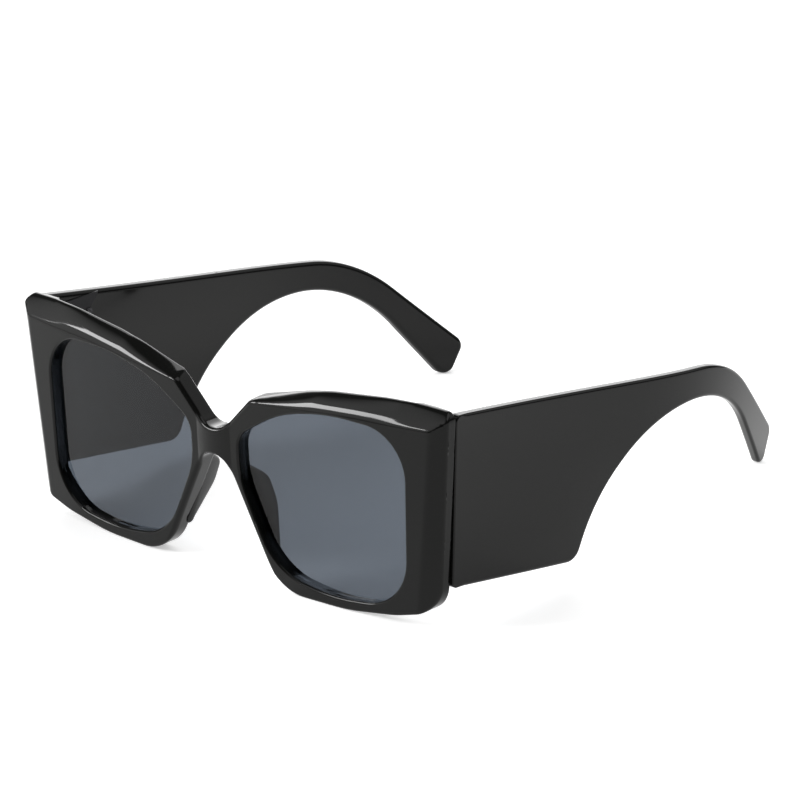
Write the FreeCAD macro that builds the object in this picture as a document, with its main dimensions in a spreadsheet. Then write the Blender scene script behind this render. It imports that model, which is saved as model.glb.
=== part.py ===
import FreeCAD, Part
import math
import os
import Sketcher

V = FreeCAD.Vector
doc = FreeCAD.newDocument("oversized_sunglasses")

# Driving sizes in mm. X runs across the face, Y from the front back along the temples, Z up from the table.
SIZES = [
    ("front_depth", 8.65, "front face of the bridge ahead of the butt line, on the middle plane"),
    ("front_wrap_radius", 631.0, "plan radius of the front face"),
    ("front_thickness", 5.2, "front to back through the rims"),
    ("rear_wrap_radius", 640.0, "plan radius of the rear face"),
    ("bridge_bulge", 0.9, "how far the bridge swells ahead of the rims"),
    ("bridge_half_width", 5.7, "half width of the swelling"),
    ("butt_y", 0.75, "rear face of the end pieces, where the temples butt"),
    ("boss_width", 11.7, "end piece's thickening, from the upper outer corner in to its foot"),
    ("boss_ramp", 1.5, "length of the ramp up to the thickening"),
    ("blank_margin", 6.7, "stock beyond the outline before it is cut"),
    ("saddle_x", 2.9, "corner of the bridge's upper edge, from the middle"),
    ("saddle_z", 38.3, "upper edge of the bridge above the table"),
    ("saddle_radius", 6.4, "round in the upper edge of the bridge"),
    ("shoulder_x", 13.3, "inner end of the brow, from the middle"),
    ("shoulder_z", 48.2, "inner end of the brow above the table"),
    ("shoulder_radius", 5.0, "round at the inner end of the brow"),
    ("brow_inner_x", 33.0, "bend in the brow line, from the middle"),
    ("brow_inner_z", 53.8, "bend in the brow line above the table"),
    ("brow_inner_radius", 80.0, "round in the brow line"),
    ("brow_outer_x", 58.0, "top of the brow line, from the middle"),
    ("brow_outer_z", 56.4, "top of the brow line above the table"),
    ("brow_outer_radius", 100.0, "round at the top of the brow line"),
    ("end_top_x", 73.3, "upper outer corner of the front, from the middle"),
    ("end_top_z", 55.8, "upper outer corner of the front above the table"),
    ("end_top_radius", 2.2, "round on the upper outer corner"),
    ("end_low_x", 68.6, "lower outer corner of the front, from the middle"),
    ("end_low_z", 5.0, "lower outer corner of the front above the table"),
    ("end_low_radius", 8.0, "round on the lower outer corner"),
    ("foot_outer_x", 57.0, "outer bend in the lower edge, from the middle"),
    ("foot_outer_z", 2.0, "outer bend in the lower edge above the table"),
    ("foot_outer_radius", 36.0, "round at the outer bend"),
    ("foot_x", 42.0, "outer end of the flat foot, from the middle"),
    ("foot_radius", 60.0, "round at the outer end of the foot"),
    ("nose_low_x", 19.6, "inner low corner of the rim, from the middle"),
    ("nose_low_radius", 14.0, "round at the inner low corner"),
    ("arch_x", 3.3, "corner of the nose arch, from the middle"),
    ("arch_z", 31.5, "crown of the nose arch above the table"),
    ("arch_radius", 5.0, "round in the nose arch"),
    ("nose_flare", 0.22, "outward flare of the nose walls per mm back"),
    ("side_facet_width", 4.1, "width of the facet down each side, across the face"),
    ("side_facet_depth", 3.1, "depth of that facet, front to back"),
    ("brow_slope", 0.72, "rise of the brow facet per mm back"),
    ("crease_mid_z", 45.5, "brow crease line on the middle plane, at the bridge face's depth"),
    ("crease_inner_x", 40.0, "bend in the crease line, from the middle"),
    ("crease_inner_z", 50.55, "crease line at that bend"),
    ("crease_radius", 90.0, "round in the crease line"),
    ("crease_end_z", 50.5, "crease line at the end of the moulding"),
    ("front_bevel", 0.5, "bevel on the front edges of the rims"),
    ("rear_bevel", 0.6, "bevel on the rear edges of the rims"),
    ("crease_bevel", 0.3, "bevel along the brow crease"),
    ("side_bevel", 0.4, "bevel along the side facet's crease"),
    ("opening_bevel", 0.5, "bevel on the lens opening's front edge"),
    ("eye_nose_x", 8.2, "nose side of the lens opening, from the middle"),
    ("eye_nose_top_z", 37.9, "upper nose corner of the lens opening"),
    ("eye_nose_top_radius", 6.5, "round at that corner"),
    ("eye_brow_x", 22.5, "inner bend in the opening's upper edge"),
    ("eye_brow_z", 46.9, "height of that bend"),
    ("eye_brow_radius", 40.0, "round at that bend"),
    ("eye_top_x", 38.0, "top of the opening, from the middle"),
    ("eye_top_z", 50.4, "top of the opening above the table"),
    ("eye_top_radius", 60.0, "round at the top"),
    ("eye_outer_top_x", 62.3, "upper outer corner of the opening"),
    ("eye_outer_top_z", 49.8, "height of that corner"),
    ("eye_outer_top_radius", 12.0, "round at that corner"),
    ("eye_outer_low_x", 61.0, "lower outer corner of the opening"),
    ("eye_outer_low_z", 4.5, "height of that corner"),
    ("eye_outer_low_radius", 14.0, "round at that corner"),
    ("eye_foot_x", 37.0, "lowest bend of the opening"),
    ("eye_foot_z", 2.4, "height of that bend"),
    ("eye_foot_radius", 60.0, "round at that bend"),
    ("eye_nose_low_x", 18.8, "lower nose corner of the opening"),
    ("eye_nose_low_z", 5.3, "height of that corner"),
    ("eye_nose_low_radius", 18.0, "round at that corner"),
    ("eye_nose_mid_z", 27.2, "bend in the nose side of the opening"),
    ("eye_nose_mid_radius", 20.0, "round at that bend"),
    ("lens_recess", 3.1, "lens behind the front face of the rim"),
    ("lens_thickness", 1.4, "lens thickness"),
    ("groove_depth", 0.65, "depth of the lens groove in the rim"),
    ("lens_clearance", 0.04, "clearance round the lens edge and behind it"),
    ("temple_thickness", 3.2, "temple plate thickness"),
    ("temple_front_gap", 0.1, "hairline between temple and front at the top of the joint"),
    ("temple_front_lean", 0.3, "how much that hairline opens at the bottom of the joint"),
    ("temple_top_z", 55.0, "upper front corner of the temple"),
    ("temple_top_round", 1.8, "round on that corner"),
    ("ear_bend_y", 108.8, "bend of the temple's upper edge over the ear"),
    ("ear_bend_z", 37.0, "height of that bend"),
    ("ear_bend_radius", 44.0, "round over the ear"),
    ("tip_top_y", 137.6, "upper corner of the temple tip"),
    ("tip_top_z", 7.6, "height of that corner"),
    ("tip_top_radius", 3.2, "round at that corner"),
    ("tip_low_y", 131.84, "lower corner of the temple tip, before its round"),
    ("tip_low_drop", 2.338, "that corner below the table line, before its round"),
    ("tip_low_radius", 2.8, "round the tip stands on"),
    ("ear_under_y", 107.1, "rear corner of the temple's cut-out"),
    ("ear_under_z", 31.9, "crown of the temple's cut-out"),
    ("ear_under_radius", 38.4, "round behind the ear"),
    ("cutout_mid_y", 73.4, "front corner of the cut-out's crown"),
    ("cutout_mid_radius", 45.0, "round ahead of the crown"),
    ("cutout_low_y", 51.7, "bend low in the cut-out"),
    ("cutout_low_z", 17.6, "height of that bend"),
    ("cutout_low_radius", 42.0, "round at that bend"),
    ("panel_rear_y", 44.3, "lower rear corner of the temple's deep panel"),
    ("panel_rear_z", 3.6, "height of that corner"),
    ("panel_rear_radius", 4.5, "round at that corner"),
    ("panel_front_z", 10.1, "lower front corner of the temple's panel"),
    ("panel_front_radius", 2.0, "round at that corner"),
    ("temple_outer_bevel", 0.7, "bevel on the temple's outer edges"),
    ("temple_inner_bevel", 0.8, "bevel on the temple's inner edges"),
    ("lean_pivot_z", 28.0, "height at which the mid lines below are measured"),
    ("temple_inset_0", 3.55, "temple mid line inside the front's upper corner, at the joint"),
    ("temple_lean_0", 0.08, "outward lean per mm of height there"),
    ("temple_y_1", 30.0, "second station back from the joint"),
    ("temple_inset_1", 3.7, "temple mid line inside that corner, at the second station"),
    ("temple_lean_1", 0.025, "lean at the second station"),
    ("temple_y_2", 62.0, "third station"),
    ("temple_inset_2", 3.9, "temple mid line inside that corner, at the third station"),
    ("temple_lean_2", 0.005, "lean at the third station"),
    ("temple_y_3", 92.0, "fourth station, where the temple starts to turn in"),
    ("temple_inset_3", 5.4, "temple mid line inside that corner, at the fourth station"),
    ("temple_lean_3", 0.01, "lean at the fourth station"),
    ("temple_y_4", 116.0, "fifth station, behind the ear"),
    ("temple_inset_4", 10.75, "temple mid line inside that corner, at the fifth station"),
    ("temple_lean_4", 0.06, "lean at the fifth station"),
    ("temple_y_5", 142.0, "last station, past the tip"),
    ("temple_inset_5", 18.6, "temple mid line inside that corner, at the last station"),
    ("temple_lean_5", 0.08, "lean at the last station"),
    ("hinge_inset", 6.6, "hinge axis inside the front's upper outer corner"),
    ("hinge_y", 4.7, "hinge axis behind the butt line"),
    ("hinge_z", 47.0, "middle of the hinge barrel above the table"),
    ("barrel_radius", 2.0, "outside radius of the hinge barrel"),
    ("barrel_height", 9.0, "height of the hinge barrel"),
    ("tongue_height", 3.0, "height of the temple's knuckle"),
    ("knuckle_gap", 0.1, "axial clearance between knuckles"),
    ("leaf_thickness", 1.2, "thickness of the hinge leaves"),
    ("leaf_swing_gap", 0.25, "temple leaf's clearance to the barrel"),
    ("temple_leaf_length", 14.5, "temple leaf behind the hinge axis"),
    ("front_leaf_width", 5.2, "front leaf across the end piece"),
    ("front_leaf_margin", 0.2, "front leaf beyond its screws' heads"),
    ("front_leaf_proud", 0.2, "front leaf standing out of its pocket"),
    ("front_leaf_inner", 3.6, "front leaf's inner edge inside the hinge axis"),
    ("pivot_radius", 0.7, "hinge screw shank radius"),
    ("pivot_clearance", 0.04, "radial clearance round the hinge screw"),
    ("pivot_head_radius", 1.35, "hinge screw head radius"),
    ("pivot_head_height", 0.7, "hinge screw head height"),
    ("slot_width", 0.4, "screwdriver slot width"),
    ("slot_depth", 0.35, "screwdriver slot depth"),
    ("leaf_screw_radius", 0.55, "leaf screw shank radius"),
    ("leaf_screw_head_radius", 1.0, "leaf screw head radius"),
    ("leaf_screw_head_height", 0.45, "leaf screw head height"),
    ("leaf_screw_length", 2.6, "leaf screw length below the head"),
    ("leaf_screw_clearance", 0.05, "radial clearance of the leaf's screw holes"),
    ("front_screw_gap", 0.5, "front leaf screws' heads clear of the hinge barrel's ends"),
    ("temple_screw_first", 5.5, "first temple leaf screw behind the hinge axis"),
    ("temple_screw_pitch", 5.6, "spacing of the temple leaf's screws"),
    ("nose_pad_lean", 0.1, "inward lean of the nose pads per mm back"),
    ("nose_pad_turn", 0.09, "how much more upright the pads stand than the nose walls, across per mm of height"),
    ("nose_pad_thickness", 2.2, "nose pad thickness, across the face"),
    ("nose_pad_root", 0.45, "nose pad stock ahead of the rim's rear face, trimmed to it"),
    ("nose_pad_reach", 4.6, "nose pad behind the rim's rear face at its fullest"),
    ("nose_pad_top_z", 30.8, "upper end of the nose pad"),
    ("nose_pad_full_top_z", 25.3, "upper end of its fullest part"),
    ("nose_pad_full_top_radius", 3.6, "round there"),
    ("nose_pad_full_low_z", 19.0, "lower end of its fullest part"),
    ("nose_pad_full_low_radius", 7.0, "round there"),
    ("nose_pad_low_z", 6.0, "lower end of the nose pad"),
    ("row_shift", 63.631, "part's origin behind the butt line, at the middle of the length"),
]

sheet = doc.addObject("Spreadsheet::Sheet", "dims")
for row, (alias, value, note) in enumerate(SIZES, start=1):
    sheet.set("A%d" % row, alias)
    sheet.set("B%d" % row, str(value))
    sheet.set("C%d" % row, note)
    sheet.setAlias("B%d" % row, alias)
doc.recompute()


class Size:
    """A size with the sheet expression that drives it."""

    def __init__(self, value, text):
        self.value = value
        self.text = text

    def joined(self, other, sign, value):
        """A size made of two others."""
        return Size(value, "(%s %s %s)" % (self.text, sign, other.text))

    def __add__(self, other):
        other = size_of(other)
        return self.joined(other, "+", self.value + other.value)

    def __sub__(self, other):
        other = size_of(other)
        return self.joined(other, "-", self.value - other.value)

    def __mul__(self, other):
        other = size_of(other)
        return self.joined(other, "*", self.value * other.value)

    def __truediv__(self, other):
        other = size_of(other)
        return self.joined(other, "/", self.value / other.value)

    def __neg__(self):
        return Size(-self.value, "(-1 * %s)" % self.text)


def size_of(number):
    """A plain number as a size."""
    if isinstance(number, Size):
        return number
    return Size(float(number), repr(float(number)))


class Sizes:
    """The sheet's sizes by name."""

    def __getattr__(self, alias):
        return Size(float(getattr(sheet, alias)), "dims." + alias)


D = Sizes()
ZERO = size_of(0)


def bind(target, prop, size):
    """Drive one property of an object from the sheet."""
    size = size_of(size)
    setattr(target, prop, size.value)
    target.setExpression(prop, size.text)


def new_body(label):
    """An empty body with the piece's name."""
    body = doc.addObject("PartDesign::Body", label)
    body.Label = label
    return body


def new_sketch(body, role, label, offset=ZERO):
    """A sketch on one of the body's own origin planes, moved along that plane's normal."""
    plane = [f for f in body.Origin.OriginFeatures if f.Role == role][0]
    sketch = body.newObject("Sketcher::SketchObject", label)
    sketch.AttachmentSupport = [(plane, "")]
    sketch.MapMode = "FlatFace"
    sketch.AttachmentOffset = FreeCAD.Placement(V(0, 0, offset.value), FreeCAD.Rotation())
    if offset is not ZERO:
        sketch.setExpression("AttachmentOffset.Base.z", offset.text)
    return sketch


def hold(sketch, geometry, end, x=None, y=None):
    """Tie a sketch point to sizes measured from the sketch's origin."""
    for kind, axis, size in (("DistanceX", -2, x), ("DistanceY", -1, y)):
        if size is None:
            continue
        if abs(size.value) < 1e-9:
            sketch.addConstraint(Sketcher.Constraint("PointOnObject", geometry, end, axis))
        elif size.value > 0:
            number = sketch.addConstraint(Sketcher.Constraint(kind, -1, 1, geometry, end, size.value))
            sketch.setExpression("Constraints[%d]" % number, size.text)
        else:
            number = sketch.addConstraint(Sketcher.Constraint(kind, geometry, end, -1, 1, -size.value))
            sketch.setExpression("Constraints[%d]" % number, "-1 * " + size.text)


def outline(sketch, corners):
    """A closed outline of straight sides with rounded corners given as x, y and radius or None."""
    count = len(corners)
    points = [V(x.value, y.value, 0) for x, y, _ in corners]
    ends = []
    for i, (_, _, radius) in enumerate(corners):
        here = points[i]
        if radius is None:
            ends.append((here, here, None, True))
            continue
        back = (points[i - 1] - here).normalize()
        ahead = (points[(i + 1) % count] - here).normalize()
        half = back.getAngle(ahead) / 2
        reach = radius.value / math.tan(half)
        centre = here + (back + ahead).normalize() * (radius.value / math.sin(half))
        first, last = here + back * reach, here + ahead * reach
        left_turn = back.cross(ahead).z < 0
        start, stop = (first, last) if left_turn else (last, first)
        low = math.atan2(start.y - centre.y, start.x - centre.x)
        high = math.atan2(stop.y - centre.y, stop.x - centre.x)
        if high < low:
            high += 2 * math.pi
        arc = Part.ArcOfCircle(Part.Circle(centre, V(0, 0, 1), radius.value), low, high)
        ends.append((first, last, arc, left_turn))
    sides = []
    for i in range(count):
        side = Part.LineSegment(ends[i][1], ends[(i + 1) % count][0])
        sides.append(sketch.addGeometry(side, False))
    for i, (x, y, radius) in enumerate(corners):
        before, after = sides[i - 1], sides[i]
        if radius is None:
            sketch.addConstraint(Sketcher.Constraint("Coincident", before, 2, after, 1))
            hold(sketch, after, 1, x, y)
            continue
        arc = sketch.addGeometry(ends[i][2], False)
        corner = sketch.addGeometry(Part.Point(points[i]), True)
        hold(sketch, corner, 1, x, y)
        first_end, last_end = (1, 2) if ends[i][3] else (2, 1)
        sketch.addConstraint(Sketcher.Constraint("PointOnObject", corner, 1, before))
        sketch.addConstraint(Sketcher.Constraint("PointOnObject", corner, 1, after))
        sketch.addConstraint(Sketcher.Constraint("Tangent", before, 2, arc, first_end))
        sketch.addConstraint(Sketcher.Constraint("Tangent", arc, last_end, after, 1))
        number = sketch.addConstraint(Sketcher.Constraint("Radius", arc, radius.value))
        sketch.setExpression("Constraints[%d]" % number, radius.text)


def box(sketch, x0, y0, x1, y1):
    """A rectangle between two corners."""
    x0, y0, x1, y1 = size_of(x0), size_of(y0), size_of(x1), size_of(y1)
    outline(sketch, [(x0, y0, None), (x1, y0, None), (x1, y1, None), (x0, y1, None)])


def circle(sketch, x, y, radius):
    """A circle with its centre and radius tied to the sheet."""
    ring = sketch.addGeometry(Part.Circle(V(x.value, y.value, 0), V(0, 0, 1), radius.value), False)
    hold(sketch, ring, 3, x, y)
    number = sketch.addConstraint(Sketcher.Constraint("Radius", ring, radius.value))
    sketch.setExpression("Constraints[%d]" % number, radius.text)


def arc_about_middle(sketch, centre_y, radius, x0, x1, front):
    """An arc whose centre is on the middle plane, drawn from x0 to x1 on its near or far side."""
    sign = -1.0 if front else 1.0
    centre = V(0, centre_y.value, 0)
    angles = []
    for x in (x0, x1):
        y = centre_y.value + sign * math.sqrt(radius.value ** 2 - x.value ** 2)
        angles.append(math.atan2(y - centre_y.value, x.value))
    low, high = min(angles), max(angles)
    arc = Part.ArcOfCircle(Part.Circle(centre, V(0, 0, 1), radius.value), low, high)
    return sketch.addGeometry(arc, False)


def extrude(body, kind, sketch, length, label, reverse=False, lean=None, both=False):
    """A pad or pocket of a sketch, straight or along a leaning direction."""
    feature = body.newObject("PartDesign::" + kind, label)
    feature.Profile = sketch
    bind(feature, "Length", length)
    feature.Reversed = reverse
    if both:
        feature.SideType = "Symmetric"
    if lean is not None:
        feature.UseCustomVector = True
        feature.AlongSketchNormal = True
        feature.Direction = V(lean[0].value, lean[1].value, lean[2].value)
        for axis, part in zip("xyz", lean):
            feature.setExpression("Direction." + axis, part.text)
    sketch.Visibility = False
    return feature


def edges_by(shape, test):
    """Names of the edges whose middle point passes a test."""
    names = []
    for number, edge in enumerate(shape.Edges, start=1):
        middle = edge.valueAt((edge.FirstParameter + edge.LastParameter) / 2)
        if test(edge, middle):
            names.append("Edge%d" % number)
    return names


def ease_edges(body, base, names, width, label):
    """A bevel that breaks named edges of the body's latest feature."""
    bevel = body.newObject("PartDesign::Chamfer", label)
    bevel.Base = (base, names)
    bind(bevel, "Size", width)
    doc.recompute()
    return bevel


def blank_height():
    """Height of the moulding before its outline is cut."""
    return D.brow_outer_z + D.blank_margin


def blank_half_width():
    """Half width of the moulding before its outline is cut."""
    return D.end_top_x + D.blank_margin


def boss_inner_x():
    """Inner foot of the end piece's thickening."""
    return D.end_top_x - D.boss_width


def hinge_x():
    """Hinge axis from the middle."""
    return D.end_top_x - D.hinge_inset


def front_y(x):
    """Front face of the rims at a distance from the middle."""
    r = D.front_wrap_radius.value
    return -D.front_depth.value + r - math.sqrt(r * r - x * x)


def rear_y(x):
    """Rear face of the rims at a distance from the middle."""
    r = D.rear_wrap_radius.value
    return -D.front_depth.value + D.front_thickness.value + r - math.sqrt(r * r - x * x)


def loop_edges(shape, test=None, inner=False):
    """Names of edges round the front face: round its opening, or on its outer border."""
    radius = D.front_wrap_radius.value
    faces = [f for f in shape.Faces if abs(getattr(f.Surface, "Radius", 0) - radius) < 1e-3]
    face = max(faces, key=lambda f: f.Area)
    wires = [w for w in face.Wires if w.isSame(face.OuterWire) != inner]
    wanted = [edge for wire in wires for edge in wire.Edges]

    def picked(edge, middle):
        return any(edge.isSame(w) for w in wanted) and (test is None or test(edge, middle))

    return edges_by(shape, picked)


def eye_corners():
    """Corners of the lens opening of the left rim, seen from the front."""
    return [
        (D.eye_nose_x, D.eye_nose_top_z, D.eye_nose_top_radius),
        (D.eye_nose_x, D.eye_nose_mid_z, D.eye_nose_mid_radius),
        (D.eye_nose_low_x, D.eye_nose_low_z, D.eye_nose_low_radius),
        (D.eye_foot_x, D.eye_foot_z, D.eye_foot_radius),
        (D.eye_outer_low_x, D.eye_outer_low_z, D.eye_outer_low_radius),
        (D.eye_outer_top_x, D.eye_outer_top_z, D.eye_outer_top_radius),
        (D.eye_top_x, D.eye_top_z, D.eye_top_radius),
        (D.eye_brow_x, D.eye_brow_z, D.eye_brow_radius),
    ]


def build_front_half():
    """The left half of the front moulding, from the middle plane out to the end piece."""
    body = new_body("front_half")
    rear_depth = D.front_depth - D.front_thickness
    ramp_top = boss_inner_x() + D.boss_ramp

    # Plan of the moulding: swollen bridge, wrapped front face, end piece and wrapped rear face.
    plan = new_sketch(body, "XY_Plane", "front_plan", size_of(-3))
    wrap_centre = D.front_wrap_radius - D.front_depth
    face = arc_about_middle(plan, wrap_centre, D.front_wrap_radius, D.bridge_half_width, blank_half_width(), True)
    hold(plan, face, 3, ZERO, wrap_centre)
    number = plan.addConstraint(Sketcher.Constraint("Radius", face, D.front_wrap_radius.value))
    plan.setExpression("Constraints[%d]" % number, D.front_wrap_radius.text)
    hold(plan, face, 1, D.bridge_half_width)
    hold(plan, face, 2, blank_half_width())
    apex = D.front_depth + D.bridge_bulge
    sag = front_y(D.bridge_half_width.value) + apex.value
    swell_radius = (D.bridge_half_width.value ** 2 + sag ** 2) / (2 * sag)
    swell_centre = size_of(swell_radius - apex.value)
    swell = arc_about_middle(plan, swell_centre, size_of(swell_radius), ZERO, D.bridge_half_width, True)
    hold(plan, swell, 1, ZERO, -apex)
    plan.addConstraint(Sketcher.Constraint("PointOnObject", swell, 3, -2))
    plan.addConstraint(Sketcher.Constraint("Coincident", swell, 2, face, 1))
    back_centre = D.rear_wrap_radius - rear_depth
    back = arc_about_middle(plan, back_centre, D.rear_wrap_radius, ZERO, boss_inner_x(), True)
    hold(plan, back, 3, ZERO, back_centre)
    number = plan.addConstraint(Sketcher.Constraint("Radius", back, D.rear_wrap_radius.value))
    plan.setExpression("Constraints[%d]" % number, D.rear_wrap_radius.text)
    hold(plan, back, 1, ZERO)
    hold(plan, back, 2, boss_inner_x())
    far = blank_half_width().value
    ring = [
        V(far, front_y(far), 0),
        V(far, D.butt_y.value, 0),
        V(ramp_top.value, D.butt_y.value, 0),
        V(boss_inner_x().value, rear_y(boss_inner_x().value), 0),
    ]
    runs = [plan.addGeometry(Part.LineSegment(a, b), False) for a, b in zip(ring[:-1], ring[1:])]
    plan.addConstraint(Sketcher.Constraint("Coincident", face, 2, runs[0], 1))
    plan.addConstraint(Sketcher.Constraint("Vertical", runs[0]))
    plan.addConstraint(Sketcher.Constraint("Coincident", runs[0], 2, runs[1], 1))
    plan.addConstraint(Sketcher.Constraint("Horizontal", runs[1]))
    plan.addConstraint(Sketcher.Constraint("Coincident", runs[1], 2, runs[2], 1))
    hold(plan, runs[1], 2, ramp_top, D.butt_y)
    plan.addConstraint(Sketcher.Constraint("Coincident", runs[2], 2, back, 2))
    close = plan.addGeometry(Part.LineSegment(V(0, -rear_depth.value, 0), V(0, -apex.value, 0)), False)
    plan.addConstraint(Sketcher.Constraint("Coincident", close, 1, back, 1))
    plan.addConstraint(Sketcher.Constraint("Coincident", close, 2, swell, 1))
    extrude(body, "Pad", plan, blank_height(), "front_blank")

    # Outline seen from the front: everything outside it is cut away.
    face_cut = new_sketch(body, "XZ_Plane", "front_outline")
    box(face_cut, -6, -8, blank_half_width() + 6, blank_height() + 6)
    outline(face_cut, [
        (ZERO, D.saddle_z, None),
        (ZERO, D.arch_z, None),
        (D.arch_x, D.arch_z, D.arch_radius),
        (D.nose_low_x, ZERO, D.nose_low_radius),
        (D.foot_x, ZERO, D.foot_radius),
        (D.foot_outer_x, D.foot_outer_z, D.foot_outer_radius),
        (D.end_low_x, D.end_low_z, D.end_low_radius),
        (D.end_top_x, D.end_top_z, D.end_top_radius),
        (D.brow_outer_x, D.brow_outer_z, D.brow_outer_radius),
        (D.brow_inner_x, D.brow_inner_z, D.brow_inner_radius),
        (D.shoulder_x, D.shoulder_z, D.shoulder_radius),
        (D.saddle_x, D.saddle_z, D.saddle_radius),
    ])
    cut = extrude(body, "Pocket", face_cut, 60, "front_outline_cut", both=True)
    doc.recompute()

    # Outline bevelled front and back, before the facets are cut.
    def on_front(edge, middle):
        return middle.x > D.bridge_half_width.value + 0.01 and abs(middle.y - front_y(middle.x)) < 0.01

    def on_rear(edge, middle):
        return 0.001 < middle.x < boss_inner_x().value - 0.01 and abs(middle.y - rear_y(middle.x)) < 0.01

    cut = ease_edges(body, cut, edges_by(cut.Shape, on_front), D.front_bevel, "front_easing")
    ease_edges(body, cut, edges_by(cut.Shape, on_rear), D.rear_bevel, "rear_easing")

    # Nose walls flare outward towards the face.
    flare = new_sketch(body, "XZ_Plane", "nose_flare", D.front_depth)
    outline(flare, [
        (size_of(-6), size_of(-8), None),
        (D.nose_low_x + (D.nose_low_x - D.arch_x) * 8 / D.arch_z, size_of(-8), None),
        (D.arch_x, D.arch_z, D.arch_radius),
        (size_of(-6), D.arch_z, None),
    ])
    extrude(body, "Pocket", flare, 20, "nose_flare_cut", lean=(D.nose_flare, size_of(1), ZERO))

    # Facet down the side of the end piece, leaning with the side edge.
    lean = (D.end_top_x - D.end_low_x) / (D.end_top_z - D.end_low_z)
    foot_x = D.end_low_x - lean * (D.end_low_z + 6)
    side = new_sketch(body, "XY_Plane", "side_facet", size_of(-6))
    crease_x = foot_x - D.side_facet_width
    crease_y = size_of(front_y(D.end_low_x.value - D.side_facet_width.value))
    slope = D.side_facet_depth / D.side_facet_width
    outline(side, [
        (crease_x - 12, crease_y - slope * 12, None),
        (foot_x + 12, crease_y + slope * (D.side_facet_width + 12), None),
        (foot_x + 12, crease_y - slope * 12, None),
    ])
    extrude(body, "Pocket", side, 72, "side_facet_cut", lean=(lean, ZERO, size_of(1)))

    # Brow facet: everything above a line that rises towards the rear.
    brow = new_sketch(body, "XZ_Plane", "brow_facet", D.front_depth + 6)
    drop = D.brow_slope * 6
    outline(brow, [
        (size_of(-6), D.crease_mid_z - drop, None),
        (D.crease_inner_x, D.crease_inner_z - drop, D.crease_radius),
        (blank_half_width() + 6, D.crease_end_z - drop, None),
        (blank_half_width() + 6, blank_height() + 20, None),
        (size_of(-6), blank_height() + 20, None),
    ])
    extrude(body, "Pocket", brow, 24, "brow_facet_cut", lean=(ZERO, size_of(1), D.brow_slope))

    # Lens opening.
    eye = new_sketch(body, "XZ_Plane", "lens_opening")
    outline(eye, eye_corners())
    last = extrude(body, "Pocket", eye, 60, "lens_opening_cut", both=True)
    doc.recompute()

    # Opening's front edge, brow crease and side crease bevelled.
    last = ease_edges(body, last, loop_edges(last.Shape, inner=True), D.opening_bevel, "opening_easing")
    crease = loop_edges(last.Shape, lambda e, m: m.z > D.shoulder_z.value and e.Length > 5)
    last = ease_edges(body, last, crease, D.crease_bevel, "brow_crease_easing")
    side_crease = loop_edges(last.Shape, lambda e, m: m.x > D.eye_outer_top_x.value and e.Length > 20)
    ease_edges(body, last, side_crease, D.side_bevel, "side_crease_easing")
    return body



def build_lens_stock(label, grow, recess, thickness):
    """A curved slab of the lens opening's outline, grown all round: a lens, or the seat it snaps into."""
    sketch = doc.addObject("Sketcher::SketchObject", label + "_outline")
    sketch.Placement = FreeCAD.Placement(V(0, 0, 0), FreeCAD.Rotation(V(1, 0, 0), 90))
    outline(sketch, eye_corners())
    grown = doc.addObject("Part::Offset2D", label + "_grown")
    grown.Source = sketch
    bind(grown, "Value", grow)
    column = doc.addObject("Part::Extrusion", label + "_column")
    column.Base = grown
    column.DirMode = "Custom"
    column.Dir = V(0, 1, 0)
    column.LengthFwd = 20
    column.LengthRev = 20
    column.Solid = True
    bowl = []
    for side, radius in (("outer", D.front_wrap_radius - recess), ("inner", D.front_wrap_radius - recess - thickness)):
        drum = doc.addObject("Part::Cylinder", label + "_" + side)
        bind(drum, "Radius", radius)
        bind(drum, "Height", blank_height() + 20)
        drum.Placement = FreeCAD.Placement(V(0, 0, -10), FreeCAD.Rotation())
        drum.setExpression("Placement.Base.y", (D.front_wrap_radius - D.front_depth).text)
        bowl.append(drum)
    wall = doc.addObject("Part::Cut", label + "_wall")
    wall.Base, wall.Tool = bowl
    slab = doc.addObject("Part::Common", label)
    slab.Label = label
    slab.Base, slab.Tool = column, wall
    return slab


def move_to_row(piece):
    """Put a finished left-hand or middle piece in the part's own frame."""
    piece.setExpression("Placement.Base.y", "-1 * dims.row_shift")


def mirrored(piece, label):
    """The right-hand twin of a left-hand piece."""
    twin = doc.addObject("Part::Mirroring", label)
    twin.Label = label
    twin.Source = piece
    twin.Base = V(0, 0, 0)
    twin.Normal = V(1, 0, 0)
    return twin


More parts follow.
